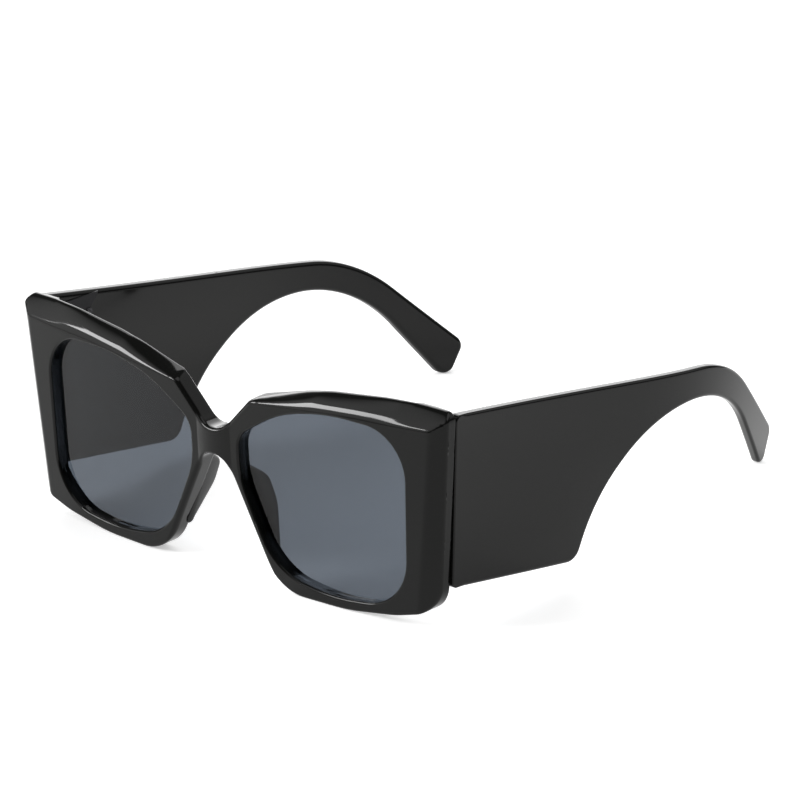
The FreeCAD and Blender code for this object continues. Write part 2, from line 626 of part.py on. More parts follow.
def build_temple():
    """The left temple: a thin twisted plate, cut to its side profile."""
    body = new_body("temple_left")
    half = D.temple_thickness / 2
    low, high = size_of(-8), blank_height()
    start = D.butt_y - 4
    stations = [
        (start, D.end_top_x - D.temple_inset_0, D.temple_lean_0),
        (D.temple_y_1, D.end_top_x - D.temple_inset_1, D.temple_lean_1),
        (D.temple_y_2, D.end_top_x - D.temple_inset_2, D.temple_lean_2),
        (D.temple_y_3, D.end_top_x - D.temple_inset_3, D.temple_lean_3),
        (D.temple_y_4, D.end_top_x - D.temple_inset_4, D.temple_lean_4),
        (D.temple_y_5, D.end_top_x - D.temple_inset_5, D.temple_lean_5),
    ]
    sections = []
    for number, (y, mid, lean) in enumerate(stations):
        section = new_sketch(body, "XZ_Plane", "temple_section_%d" % number, -y)
        foot = mid + lean * (low - D.lean_pivot_z)
        head = mid + lean * (high - D.lean_pivot_z)
        outline(section, [
            (foot - half, low, None),
            (foot + half, low, None),
            (head + half, high, None),
            (head - half, high, None),
        ])
        sections.append(section)
    plate = body.newObject("PartDesign::AdditiveLoft", "temple_plate")
    plate.Profile = sections[0]
    plate.Sections = sections[1:]
    plate.Ruled = False

    profile = new_sketch(body, "YZ_Plane", "temple_profile")
    box(profile, -20, -30, 170, 90)
    front_top = D.butt_y + D.temple_front_gap
    outline(profile, [
        (front_top + D.temple_front_lean, D.panel_front_z, D.panel_front_radius),
        (D.panel_rear_y, D.panel_rear_z, D.panel_rear_radius),
        (D.cutout_low_y, D.cutout_low_z, D.cutout_low_radius),
        (D.cutout_mid_y, D.ear_under_z, D.cutout_mid_radius),
        (D.ear_under_y, D.ear_under_z, D.ear_under_radius),
        (D.tip_low_y, -D.tip_low_drop, D.tip_low_radius),
        (D.tip_top_y, D.tip_top_z, D.tip_top_radius),
        (D.ear_bend_y, D.ear_bend_z, D.ear_bend_radius),
        (front_top, D.temple_top_z, D.temple_top_round),
    ])
    cut = extrude(body, "Pocket", profile, 300, "temple_profile_cut", both=True)
    doc.recompute()

    # Long edges bevelled: a fine bevel outside, a wider one inside.
    def mid_x(point):
        ys = [y.value for y, _, _ in stations]
        mids = [m.value + k.value * (point.z - D.lean_pivot_z.value) for _, m, k in stations]
        for y0, y1, x0, x1 in zip(ys[:-1], ys[1:], mids[:-1], mids[1:]):
            if point.y <= y1:
                return x0 + (x1 - x0) * (point.y - y0) / (y1 - y0)
        return mids[-1]

    def is_long(edge, middle):
        first, last = edge.Vertexes[0].Point, edge.Vertexes[-1].Point
        return abs(mid_x(first) - first.x) > 0.5 and (mid_x(first) - first.x) * (mid_x(last) - last.x) > 0

    outer = edges_by(cut.Shape, lambda e, m: is_long(e, m) and m.x > mid_x(m))
    eased = ease_edges(body, cut, outer, D.temple_outer_bevel, "temple_outer_easing")
    inner = edges_by(eased.Shape, lambda e, m: is_long(e, m) and m.x < mid_x(m) - 1.0)
    eased = ease_edges(body, eased, inner, D.temple_inner_bevel, "temple_inner_easing")

    # Pocket for the hinge leaf and pilot holes for its screws.
    floor = leaf_seat_x() + D.leaf_thickness
    pocket = new_sketch(body, "YZ_Plane", "temple_leaf_pocket", floor)
    box(pocket, D.hinge_y, D.hinge_z - D.barrel_height / 2, D.hinge_y + D.temple_leaf_length, D.hinge_z + D.barrel_height / 2)
    extrude(body, "Pocket", pocket, 8, "temple_leaf_pocket_cut")
    pilots = new_sketch(body, "YZ_Plane", "temple_pilot_holes", leaf_seat_x() + D.leaf_screw_length)
    for y in temple_screw_ys():
        circle(pilots, y, D.hinge_z, D.leaf_screw_radius)
    extrude(body, "Pocket", pilots, 8, "temple_pilot_cut")
    doc.recompute()
    return body


def leaf_seat_x():
    """Inner face of the temple leaf."""
    return hinge_x() + D.barrel_radius + D.leaf_swing_gap


def temple_screw_ys():
    """Where the temple leaf's screws are."""
    first = D.hinge_y + D.temple_screw_first
    return [first, first + D.temple_screw_pitch]


def front_screw_reach():
    """From the hinge's mid height to the front leaf's screws, whose heads clear the barrel."""
    return D.barrel_height / 2 + D.front_screw_gap + D.leaf_screw_head_radius


def front_leaf_reach():
    """From the hinge's mid height to the front leaf's ends."""
    return front_screw_reach() + D.leaf_screw_head_radius + D.front_leaf_margin


def front_screw_spots():
    """Where the front leaf's screws are."""
    x = hinge_x() - D.front_leaf_inner + D.front_leaf_width / 2
    return [(x, D.hinge_z - front_screw_reach()), (x, D.hinge_z + front_screw_reach())]


def knuckle_height():
    """Height of each outer knuckle."""
    return (D.barrel_height - D.tongue_height - D.knuckle_gap * 2) / 2


def build_front_leaf():
    """Front hinge leaf: a plate with two knuckles on webs."""
    body = new_body("front_hinge_leaf_left")
    left = hinge_x() - D.front_leaf_inner
    top = D.butt_y + D.front_leaf_proud
    plate = new_sketch(body, "XZ_Plane", "front_leaf_plate", -top)
    box(plate, left, D.hinge_z - front_leaf_reach(), left + D.front_leaf_width, D.hinge_z + front_leaf_reach())
    extrude(body, "Pad", plate, D.leaf_thickness, "front_leaf_plate_pad")
    low = D.hinge_z - D.barrel_height / 2
    for name, base in (("low", low), ("high", low + D.barrel_height - knuckle_height())):
        web = new_sketch(body, "XY_Plane", "front_web_" + name, base)
        box(web, hinge_x() - D.barrel_radius, top - D.leaf_thickness / 2, hinge_x(), D.hinge_y)
        extrude(body, "Pad", web, knuckle_height(), "front_web_pad_" + name)
        knuckle = new_sketch(body, "XY_Plane", "front_knuckle_" + name, base)
        circle(knuckle, hinge_x(), D.hinge_y, D.barrel_radius)
        extrude(body, "Pad", knuckle, knuckle_height(), "front_knuckle_pad_" + name)
    bore = new_sketch(body, "XY_Plane", "front_bore", low + D.barrel_height + 5)
    circle(bore, hinge_x(), D.hinge_y, D.pivot_radius + D.pivot_clearance)
    extrude(body, "Pocket", bore, D.barrel_height + 10, "front_bore_cut")
    holes = new_sketch(body, "XZ_Plane", "front_leaf_holes", -(top + 2))
    for x, z in front_screw_spots():
        circle(holes, x, z, D.leaf_screw_radius + D.leaf_screw_clearance)
    extrude(body, "Pocket", holes, 6, "front_leaf_holes_cut", reverse=True)
    doc.recompute()
    return body


def build_temple_leaf():
    """Temple hinge leaf: a plate with one knuckle on a web."""
    body = new_body("temple_hinge_leaf_left")
    low = D.hinge_z - D.barrel_height / 2
    plate = new_sketch(body, "YZ_Plane", "temple_leaf_plate", leaf_seat_x())
    box(plate, D.hinge_y, low, D.hinge_y + D.temple_leaf_length, low + D.barrel_height)
    extrude(body, "Pad", plate, D.leaf_thickness, "temple_leaf_plate_pad")
    base = D.hinge_z - D.tongue_height / 2
    web = new_sketch(body, "XY_Plane", "temple_web", base)
    box(web, hinge_x(), D.hinge_y, leaf_seat_x() + D.leaf_thickness / 2, D.hinge_y + D.barrel_radius)
    extrude(body, "Pad", web, D.tongue_height, "temple_web_pad")
    knuckle = new_sketch(body, "XY_Plane", "temple_knuckle", base)
    circle(knuckle, hinge_x(), D.hinge_y, D.barrel_radius)
    extrude(body, "Pad", knuckle, D.tongue_height, "temple_knuckle_pad")
    bore = new_sketch(body, "XY_Plane", "temple_bore", low + D.barrel_height + 5)
    circle(bore, hinge_x(), D.hinge_y, D.pivot_radius + D.pivot_clearance)
    extrude(body, "Pocket", bore, D.barrel_height + 10, "temple_bore_cut")
    holes = new_sketch(body, "YZ_Plane", "temple_leaf_holes", leaf_seat_x() + D.leaf_thickness + 2)
    for y in temple_screw_ys():
        circle(holes, y, D.hinge_z, D.leaf_screw_radius + D.leaf_screw_clearance)
    extrude(body, "Pocket", holes, 6, "temple_leaf_holes_cut")
    doc.recompute()
    return body


def build_screw(label, shank, length, head, height):
    """A slotted screw along Z with its head seated on the XY plane."""
    body = new_body(label)
    half = new_sketch(body, "XZ_Plane", label + "_half")
    outline(half, [
        (ZERO, -length, None),
        (shank, -length, None),
        (shank, ZERO, None),
        (head, ZERO, None),
        (head, height, None),
        (ZERO, height, None),
    ])
    turned = body.newObject("PartDesign::Revolution", label + "_turned")
    turned.Profile = half
    turned.ReferenceAxis = (half, ["V_Axis"])
    turned.Angle = 360
    slot = new_sketch(body, "XY_Plane", label + "_slot", height)
    box(slot, -(head + 1), -D.slot_width / 2, head + 1, D.slot_width / 2)
    extrude(body, "Pocket", slot, D.slot_depth, label + "_slot_cut")
    return body


def place(body, x, y, z, rotation):
    """Stand a screw at a spot in the front's own frame."""
    body.Placement = FreeCAD.Placement(V(x.value, y.value, z.value), rotation)
    for axis, size in zip("xyz", (x, y, z)):
        body.setExpression("Placement.Base." + axis, size.text)


def screw_pair(label, spots, rotation):
    """Two leaf screws as one named group."""
    group = []
    for number, (x, y, z) in enumerate(spots, start=1):
        screw = build_screw("%s_%d" % (label, number), D.leaf_screw_radius, D.leaf_screw_length,
                            D.leaf_screw_head_radius, D.leaf_screw_head_height)
        place(screw, x, y, z, rotation)
        group.append(screw)
    pair = doc.addObject("Part::Compound", label)
    pair.Label = label
    pair.Links = group
    return pair


def build_nose_pad():
    """Left nose pad: a lobe behind the rim, its root trimmed to the rim."""
    body = new_body("nose_pad_stock")
    rear = D.front_depth - D.front_thickness
    run = (D.nose_low_x - D.arch_x) / D.arch_z
    wall = D.arch_x + D.nose_flare * D.front_thickness + D.nose_pad_lean * D.nose_pad_root
    middle = (D.nose_pad_full_low_z + D.nose_pad_full_top_z) / 2

    def wall_x(z):
        return wall + run * (D.arch_z - z) + D.nose_pad_turn * (z - middle)

    strip = new_sketch(body, "XZ_Plane", "nose_pad_strip", rear + D.nose_pad_root)
    outline(strip, [
        (wall_x(D.nose_pad_low_z - 4), D.nose_pad_low_z - 4, None),
        (wall_x(D.nose_pad_low_z - 4) + D.nose_pad_thickness, D.nose_pad_low_z - 4, None),
        (wall_x(D.nose_pad_top_z) + D.nose_pad_thickness, D.nose_pad_top_z, None),
        (wall_x(D.nose_pad_top_z), D.nose_pad_top_z, None),
    ])
    extrude(body, "Pad", strip, D.nose_pad_root + D.nose_pad_reach + 2, "nose_pad_blank",
            lean=(-D.nose_pad_lean, size_of(1), ZERO))
    lobe = new_sketch(body, "YZ_Plane", "nose_pad_lobe")
    box(lobe, -14, -8, 14, 48)
    full = D.nose_pad_reach - rear
    outline(lobe, [
        (-(rear + D.nose_pad_root + 2), D.nose_pad_low_z, None),
        (full, D.nose_pad_full_low_z, D.nose_pad_full_low_radius),
        (full, D.nose_pad_full_top_z, D.nose_pad_full_top_radius),
        (-(rear + D.nose_pad_root + 2), D.nose_pad_top_z, None),
    ])
    cut = extrude(body, "Pocket", lobe, 100, "nose_pad_lobe_cut", both=True)
    doc.recompute()
    drum = doc.addObject("Part::Cylinder", "nose_pad_back_face")
    bind(drum, "Radius", D.rear_wrap_radius)
    bind(drum, "Height", blank_height())
    drum.setExpression("Placement.Base.y", (D.rear_wrap_radius - rear).text)
    pad = doc.addObject("Part::Common", "nose_pad_left")
    pad.Label = "nose_pad_left"
    pad.Base, pad.Tool = body, drum
    return pad


def build_front():
    """The whole front: left half with its lens seat and leaf pocket, joined to its mirror image."""
    half = build_front_half()
    left = hinge_x() - D.front_leaf_inner
    bottom = D.butt_y + D.front_leaf_proud - D.leaf_thickness
    pocket = new_sketch(half, "XZ_Plane", "front_leaf_pocket", -bottom)
    box(pocket, left, D.hinge_z - front_leaf_reach(), left + D.front_leaf_width, D.hinge_z + front_leaf_reach())
    extrude(half, "Pocket", pocket, 8, "front_leaf_pocket_cut")
    tips = D.leaf_screw_length - D.butt_y - D.front_leaf_proud
    pilots = new_sketch(half, "XZ_Plane", "front_pilot_holes", tips)
    for x, z in front_screw_spots():
        circle(pilots, x, z, D.leaf_screw_radius)
    extrude(half, "Pocket", pilots, 8, "front_pilot_cut")
    doc.recompute()
    seat = build_lens_stock("lens_seat", D.groove_depth, D.lens_recess, D.lens_thickness + D.lens_clearance)
    seated = doc.addObject("Part::Cut", "front_half_seated")
    seated.Base, seated.Tool = half, seat
    other = mirrored(seated, "front_half_other")
    front = doc.addObject("Part::MultiFuse", "front_frame")
    front.Label = "front_frame"
    front.Shapes = [seated, other]
    front.Refine = True
    return front


front = build_front()
lens = build_lens_stock("lens_left", D.groove_depth - D.lens_clearance, D.lens_recess, D.lens_thickness)
pad = build_nose_pad()
temple = build_temple()
front_leaf = build_front_leaf()
temple_leaf = build_temple_leaf()
pivot = build_screw("hinge_screw_left", D.pivot_radius, D.barrel_height, D.pivot_head_radius, D.pivot_head_height)
place(pivot, hinge_x(), D.hinge_y - D.row_shift, D.hinge_z + D.barrel_height / 2, FreeCAD.Rotation(V(0, 0, 1), 30))
leaf_back = D.butt_y + D.front_leaf_proud
front_screws = screw_pair("front_leaf_screws_left", [(x, leaf_back, z) for x, z in front_screw_spots()],
                          FreeCAD.Rotation(V(1, 0, 0), -90))
temple_screws = screw_pair("temple_leaf_screws_left", [(leaf_seat_x(), y, D.hinge_z) for y in temple_screw_ys()],
                           FreeCAD.Rotation(V(0, 1, 0), -90))
doc.recompute()

for piece in (front, lens, pad, temple, front_leaf, temple_leaf, front_screws, temple_screws):
    move_to_row(piece)
doc.recompute()
pieces = [front]
for piece in (lens, pad, temple, front_leaf, temple_leaf, pivot, front_screws, temple_screws):
    pieces.append(piece)
    pieces.append(mirrored(piece, piece.Label.replace("_left", "_right")))
doc.recompute()

for item in doc.Objects:
    if "Invalid" in item.State or "Error" in item.State:
        raise RuntimeError(item.Label + " did not build")
os.makedirs("parts", exist_ok=True)
for piece in pieces:
    if piece.Shape.isNull() or not piece.Shape.isValid():
        raise RuntimeError(piece.Label + " has no sound shape")
    piece.Shape.exportStep("parts/%s.step" % piece.Label)
    limits = piece.Shape.optimalBoundingBox()
    print(piece.Label, len(piece.Shape.Solids), round(piece.Shape.Volume, 2), limits)
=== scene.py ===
"""Looks of the oversized sunglasses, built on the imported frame.

Sizes are in millimetres, from the middle of the front, its butt line and the table. Meshes are
written in metres in the part's own frame, whose origin is under the middle of the whole length.
"""

import logging
import math
from collections.abc import Callable
from dataclasses import dataclass, field
from enum import Enum

import bmesh
import bpy
import numpy as np
from mathutils import Matrix, Vector
from mathutils.geometry import delaunay_2d_cdt


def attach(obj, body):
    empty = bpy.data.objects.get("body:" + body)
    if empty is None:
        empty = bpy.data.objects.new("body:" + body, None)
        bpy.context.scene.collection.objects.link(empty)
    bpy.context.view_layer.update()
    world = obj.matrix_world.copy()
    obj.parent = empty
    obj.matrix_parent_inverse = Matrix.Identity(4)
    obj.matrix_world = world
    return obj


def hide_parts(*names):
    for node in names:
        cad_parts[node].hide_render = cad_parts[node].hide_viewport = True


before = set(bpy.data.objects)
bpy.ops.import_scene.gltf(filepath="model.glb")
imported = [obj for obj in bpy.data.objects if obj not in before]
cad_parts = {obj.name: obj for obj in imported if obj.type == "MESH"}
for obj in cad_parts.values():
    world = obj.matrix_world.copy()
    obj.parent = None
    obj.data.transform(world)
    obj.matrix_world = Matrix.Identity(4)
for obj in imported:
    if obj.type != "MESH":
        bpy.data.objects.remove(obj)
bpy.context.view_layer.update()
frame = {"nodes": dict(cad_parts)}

MM = 0.001
ROW_SHIFT = 63.631
FRONT_BODY = "front"

Corner = tuple[float, float, float]
Spot = tuple[float, float, float]
Tone = tuple[float, float, float]
Span = tuple[float, float]
Loop = np.ndarray
Face = Callable[[np.ndarray], np.ndarray]
Place = Callable[[np.ndarray, np.ndarray], np.ndarray]

# Rings of an edge round: angle in degrees, and how far past the round the ring lies.
EDGE_RINGS: tuple[Span, ...] = (
    (0.0, 0.0),
    (18.0, 0.0),
    (36.0, 0.0),
    (54.0, 0.0),
    (72.0, 0.0),
    (90.0, 0.0),
    (90.0, 0.12),
    (90.0, 0.45),
)
WALL_ROWS = (0.08, 0.35, 0.65, 0.92)
LEAST_WALL = 0.1
ROUNDS_SHARE = 0.92
GUIDE_MARGIN = 0.12
GRID_OFFSET: Span = (0.317, 0.271)

# Sockets of a colour Mix node, which has several inputs of the same name.
MIX_SHARE, MIX_FIRST, MIX_SECOND, MIX_RESULT = 0, 6, 7, 2

log = logging.getLogger("sunglasses")


class Side(Enum):
    """The wearer's two sides; the value is the sign of X."""

    LEFT = 1
    RIGHT = -1

    @property
    def word(self) -> str:
        """Name used in node and piece names."""
        return self.name.lower()

    @property
    def temple_body(self) -> str:
        """Body that the temple of this side moves with."""
        return f"{self.word}_temple"


class Slot(Enum):
    """Material slots of the record."""

    FRAME = "frame_black"
    LENS = "lens_smoke"
    PAD = "pad_black"
    HINGE = "hinge_metal"
    SCREW = "screw_steel"


def rounded(corners: list[Corner], step: float = 1.3, turn: float = 6.0) -> Loop:
    """Sample a closed outline of straight sides with rounded corners.

    Args:
        corners: Corner places with their radii, in order.
        step: Longest distance between points.
        turn: Largest angle between points on a corner, in degrees.

    Returns:
        Points along the outline, in the corners' order.
    """
    places = np.array([c[:2] for c in corners], float)
    arcs: list[np.ndarray] = []
    for i, (_, _, radius) in enumerate(corners):
        here = places[i]
        back = places[i - 1] - here
        ahead = places[(i + 1) % len(places)] - here
        back = back / np.linalg.norm(back)
        ahead = ahead / np.linalg.norm(ahead)
        half = 0.5 * math.acos(np.clip(back @ ahead, -1.0, 1.0))
        start = here + back * radius / math.tan(half)
        middle = here + (back + ahead) / np.linalg.norm(back + ahead) * radius / math.sin(half)
        sweep = math.pi - 2 * half
        sign = 1.0 if ahead[0] * back[1] - ahead[1] * back[0] > 0 else -1.0
        count = max(2, math.ceil(math.degrees(sweep) / turn), math.ceil(sweep * radius / step))
        first = math.atan2(start[1] - middle[1], start[0] - middle[0])
        angles = first + sign * np.linspace(0.0, sweep, count + 1)
        arcs.append(middle + radius * np.stack([np.cos(angles), np.sin(angles)], 1))
    runs = []
    for arc, after in zip(arcs, arcs[1:] + arcs[:1]):
        runs.append(arc)
        gap = np.linalg.norm(after[0] - arc[-1])
        count = math.ceil(gap / step)
        share = np.arange(1, count)[:, None] / max(count, 1)
        runs.append(arc[-1] + share * (after[0] - arc[-1]))
    return np.concatenate(runs)


def mirrored_corners(half: list[Corner]) -> list[Corner]:
    """Close a half outline that runs from the middle round to the middle again."""
    return half + [(-x, z, r) for x, z, r in reversed(half)]


def stepped_in(loop: Loop, distance: np.ndarray | float) -> Loop:
    """Move a loop to its left, which is into the material.

    Args:
        loop: Closed points with the material on the left.
        distance: How far, for all points or for each.

    Returns:
        The moved points.
    """
    edge = np.roll(loop, -1, 0) - loop
    edge = edge / np.linalg.norm(edge, axis=1, keepdims=True)
    left = np.stack([-edge[:, 1], edge[:, 0]], 1)
    normal = left + np.roll(left, 1, 0)
    normal = normal / np.linalg.norm(normal, axis=1, keepdims=True)
    reach = np.broadcast_to(distance, len(loop)) / np.sum(normal * left, axis=1)
    return loop + normal * reach[:, None]


def inside(points: np.ndarray, loop: Loop) -> np.ndarray:
    """Tell which points lie within a closed loop."""
    a, b = loop, np.roll(loop, -1, 0)
    x, y = points[:, :1], points[:, 1:]
    spans = (a[:, 1] > y) != (b[:, 1] > y)
    rise = np.where(b[:, 1] == a[:, 1], 1e-12, b[:, 1] - a[:, 1])
    cross = a[:, 0] + (y - a[:, 1]) * (b[:, 0] - a[:, 0]) / rise
    return (np.sum(spans & (x < cross), axis=1) % 2).astype(bool)


def distance_to(points: np.ndarray, loop: Loop) -> np.ndarray:
    """Distance from each point to a closed loop."""
    a = loop[None]
    run = (np.roll(loop, -1, 0) - loop)[None]
    share = np.sum((points[:, None] - a) * run, 2) / np.maximum(np.sum(run * run, 2), 1e-12)
    nearest = a + np.clip(share, 0, 1)[..., None] * run
    return np.sqrt(np.min(np.sum((points[:, None] - nearest) ** 2, 2), axis=1))


def soft_max(a: np.ndarray, b: np.ndarray, width: float) -> np.ndarray:
    """Greater of two values, with the change between them rounded over a width."""
    share = np.clip(0.5 + 0.5 * (a - b) / width, 0, 1)
    return b + (a - b) * share + width * share * (1 - share)


def eased(value: np.ndarray, low: float, high: float) -> np.ndarray:
    """Rise smoothly from 0 to 1 as a value goes from low to high."""
    share = np.clip((value - low) / (high - low), 0, 1)
    return share * share * (3 - 2 * share)


def fading(value: np.ndarray, low: float, high: float) -> np.ndarray:
    """Fall smoothly from 1 to 0 as a value goes from low to high."""
    return eased(-value, -high, -low)


class SmoothLine:
    """A natural cubic curve through given stations."""

    def __init__(self, at: list[float], value: list[float]) -> None:
        """Fit the curve.

        Args:
            at: Rising places of the stations.
            value: Values at those places.
        """
        self.at = np.array(at, float)
        self.value = np.array(value, float)
        gap = np.diff(self.at)
        count = len(at)
        rows = np.eye(count)
        right = np.zeros(count)
        for i in range(1, count - 1):
            rows[i, i - 1 : i + 2] = gap[i - 1], 2 * (gap[i - 1] + gap[i]), gap[i]
            rise = (self.value[i + 1] - self.value[i]) / gap[i]
            right[i] = 6 * (rise - (self.value[i] - self.value[i - 1]) / gap[i - 1])
        self.bend = np.linalg.solve(rows, right)

    def __call__(self, at: np.ndarray) -> np.ndarray:
        """Values of the curve at some places."""
        i = np.clip(np.searchsorted(self.at, at) - 1, 0, len(self.at) - 2)
        gap = self.at[i + 1] - self.at[i]
        a, b = (self.at[i + 1] - at) / gap, (at - self.at[i]) / gap
        cubic = (a**3 - a) * self.bend[i] + (b**3 - b) * self.bend[i + 1]
        return a * self.value[i] + b * self.value[i + 1] + cubic * gap**2 / 6


@dataclass
class Plate:
    """A closed shell between two faces that share an outline, with every edge rounded.

    Loops have the material on their left; the first is the outline and the rest are openings. An
    upper loop and its lower loop have the same number of points.
    """

    upper_loops: list[Loop]
    lower_loops: list[Loop]
    upper_face: Face
    lower_face: Face
    upper_round: list[float | np.ndarray]
    lower_round: list[float | np.ndarray]
    upper_guides: list[np.ndarray] = field(default_factory=list)
    lower_guides: list[np.ndarray] = field(default_factory=list)
    grid: float = 2.2
    crown: float = 0.0
    crown_width: float = 4.0

    def build(self, name: str, place: Place) -> bpy.types.Mesh:
        """Make the mesh.

        Args:
            name: Name of the mesh.
            place: Turns outline points and heights into places in millimetres.

        Returns:
            A smooth closed mesh in metres, in the part's frame.
        """
        top, top_faces, top_rims = self._face(True)
        low, low_faces, low_rims = self._face(False)
        spots = [place(top[:, :2], top[:, 2]), place(low[:, :2], low[:, 2])]
        shift = len(top)
        faces = [tuple(f) for f in top_faces]
        faces += [tuple(i + shift for i in f) for f in low_faces]
        count = shift + len(low)
        for up, down in zip(top_rims, low_rims):
            a, b = spots[0][up], spots[1][down]
            rows = [np.array(up)]
            for share in WALL_ROWS:
                spots.append(a + (b - a) * share)
                rows.append(np.arange(count, count + len(a)))
                count += len(a)
            rows.append(np.array(down) + shift)
            for first, second in zip(rows[:-1], rows[1:]):
                quads = np.stack([first, np.roll(first, -1), np.roll(second, -1), second], 1)
                faces += [tuple(int(i) for i in quad) for quad in quads]
        return to_mesh(name, np.concatenate(spots), faces)

    def _rounds(self, index: int) -> tuple[np.ndarray, np.ndarray]:
        """Edge radii along a loop, no larger than the wall there allows."""
        wall = self.upper_face(self.upper_loops[index]) - self.lower_face(self.lower_loops[index])
        most = np.maximum(wall, LEAST_WALL)
        upper, lower = self.upper_round[index], self.lower_round[index]
        share = np.minimum(1.0, ROUNDS_SHARE * most / (upper + lower))
        return upper * share, lower * share

    def _face(self, upper: bool) -> tuple[np.ndarray, list[list[int]], list[list[int]]]:
        """Points, triangles and rim indices of one face."""
        loops = self.upper_loops if upper else self.lower_loops
        surface = self.upper_face if upper else self.lower_face
        sign = 1.0 if upper else -1.0
        points: list[np.ndarray] = []
        heights: list[np.ndarray] = []
        edges: list[tuple[int, int]] = []
        rims: list[list[int]] = []
        inner: list[Loop] = []
        total = 0
        for index, loop in enumerate(loops):
            radius = self._rounds(index)[0 if upper else 1]
            for angle, extra in EDGE_RINGS:
                turn = math.radians(angle)
                ring = stepped_in(loop, radius * (1 - math.cos(turn)) + extra)
                height = surface(ring) - sign * radius * (1 - math.sin(turn))
                numbers = list(range(total, total + len(ring)))
                if len(rims) == index:
                    rims.append(numbers)
                edges += list(zip(numbers, numbers[1:] + numbers[:1]))
                points.append(ring)
                heights.append(height)
                total += len(ring)
            inner.append(ring)
        for guide in self.upper_guides if upper else self.lower_guides:
            clear = self._clear(guide, inner, GUIDE_MARGIN)
            for run in np.split(np.arange(len(guide)), np.where(~clear)[0]):
                run = [i for i in run if clear[i]]
                if len(run) < 2:
                    continue
                points.append(guide[run])
                heights.append(surface(guide[run]))
                numbers = list(range(total, total + len(run)))
                edges += list(zip(numbers[:-1], numbers[1:]))
                total += len(run)
        spare = self._grid_points(inner, upper)
        points.append(spare)
        heights.append(surface(spare))
        flat = np.concatenate(points)
        height = np.concatenate(heights)
        made = delaunay_2d_cdt([Vector(p) for p in flat.tolist()], edges, [], 0, 1e-6)
        spots = np.array([(p.x, p.y) for p in made[0]])
        lift = surface(spots)
        where: dict[int, int] = {}
        for number, origins in enumerate(made[3]):
            for origin in origins:
                where[origin] = number
                lift[number] = height[origin]
        if self.crown:
            lift = lift - sign * self._crown_drop(spots, loops)
        triangles = np.array(made[2])
        middle = spots[triangles].mean(1)
        solid = inside(middle, loops[0])
        for hole in loops[1:]:
            solid &= ~inside(middle, hole)
        rims = [[where[i] for i in rim] for rim in rims]
        return np.column_stack([spots, lift]), triangles[solid].tolist(), rims

    def _crown_drop(self, spots: np.ndarray, loops: list[Loop]) -> np.ndarray:
        """How far a slightly crowned face falls away near its edges."""
        away = np.min([distance_to(spots, loop) for loop in loops], axis=0)
        share = np.clip(1 - away / self.crown_width, 0, 1)
        return self.crown * share * share

    def _clear(self, points: np.ndarray, inner: list[Loop], margin: float) -> np.ndarray:
        """Tell which points lie on the face, clear of the edge rounds."""
        good = inside(points, inner[0])
        for hole in inner[1:]:
            good &= ~inside(points, hole)
        for loop in inner:
            good &= distance_to(points, loop) > margin
        return good

    def _grid_points(self, inner: list[Loop], upper: bool) -> np.ndarray:
        """Points that fill a face between its edge rounds and guide lines."""
        low, high = inner[0].min(0), inner[0].max(0)
        u = np.arange(low[0], high[0], self.grid) + GRID_OFFSET[0] * self.grid
        v = np.arange(low[1], high[1], self.grid) + GRID_OFFSET[1] * self.grid
        points = np.stack(np.meshgrid(u, v), -1).reshape(-1, 2)
        points = points[self._clear(points, inner, 0.5 * self.grid)]
        guides = self.upper_guides if upper else self.lower_guides
        if guides:
            lines = np.concatenate(guides)
            gap = np.min(np.linalg.norm(points[:, None] - lines[None], axis=2), axis=1)
            points = points[gap > 0.45 * self.grid]
        return points


def to_mesh(name: str, spots: np.ndarray, faces: list[tuple[int, ...]]) -> bpy.types.Mesh:
    """Write a smooth mesh in the part's frame.

    Args:
        name: Name of the mesh.
        spots: Places in millimetres from the butt line.
        faces: Corner indices of each face.

    Returns:
        The mesh, in metres, facing outwards.
    """
    spots = (spots - np.array([0.0, ROW_SHIFT, 0.0])) * MM
    mesh = bpy.data.meshes.new(name)
    mesh.from_pydata(spots.tolist(), [], faces)
    shell = bmesh.new()
    shell.from_mesh(mesh)
    loose = [v for v in shell.verts if not v.link_faces]
    bmesh.ops.delete(shell, geom=loose, context="VERTS")
    bmesh.ops.recalc_face_normals(shell, faces=shell.faces)
    shell.to_mesh(mesh)
    shell.free()
    mesh.shade_smooth()
    return mesh


def mirrored_mesh(mesh: bpy.types.Mesh, name: str) -> bpy.types.Mesh:
    """The other side's twin of a mesh."""
    twin = mesh.copy()
    twin.name = name
    twin.transform(Matrix.Scale(-1, 4, (1, 0, 0)))
    twin.flip_normals()
    return twin


def both_sides(plate: Plate, name: str, place: Place) -> list[tuple[Side, bpy.types.Mesh]]:
    """Build a left piece and its mirrored twin.

    Args:
        plate: Shape of the left piece.
        name: What the names of both start with.
        place: Turns outline points and heights into places in millimetres.

    Returns:
        Each side with its mesh.
    """
    mesh = plate.build(f"{name}_{Side.LEFT.word}", place)
    twin = mirrored_mesh(mesh, f"{name}_{Side.RIGHT.word}")
    return [(Side.LEFT, mesh), (Side.RIGHT, twin)]


def show(
    mesh: bpy.types.Mesh, body: str, nodes: list[str], finish: bpy.types.Material
) -> bpy.types.Object:
    """Put a finished mesh in the scene as a piece.

    Args:
        mesh: The mesh, whose name becomes the piece's.
        body: Body that the piece moves with.
        nodes: Nodes that it stands for.
        finish: Its material.

    Returns:
        The new object.
    """
    piece = bpy.data.objects.new(mesh.name, mesh)
    bpy.context.scene.collection.objects.link(piece)
    mesh.materials.clear()
    mesh.materials.append(finish)
    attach(piece, body)
    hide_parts(*nodes)
    log.info("%s: %d faces on %s", piece.name, len(mesh.polygons), body)
    return piece


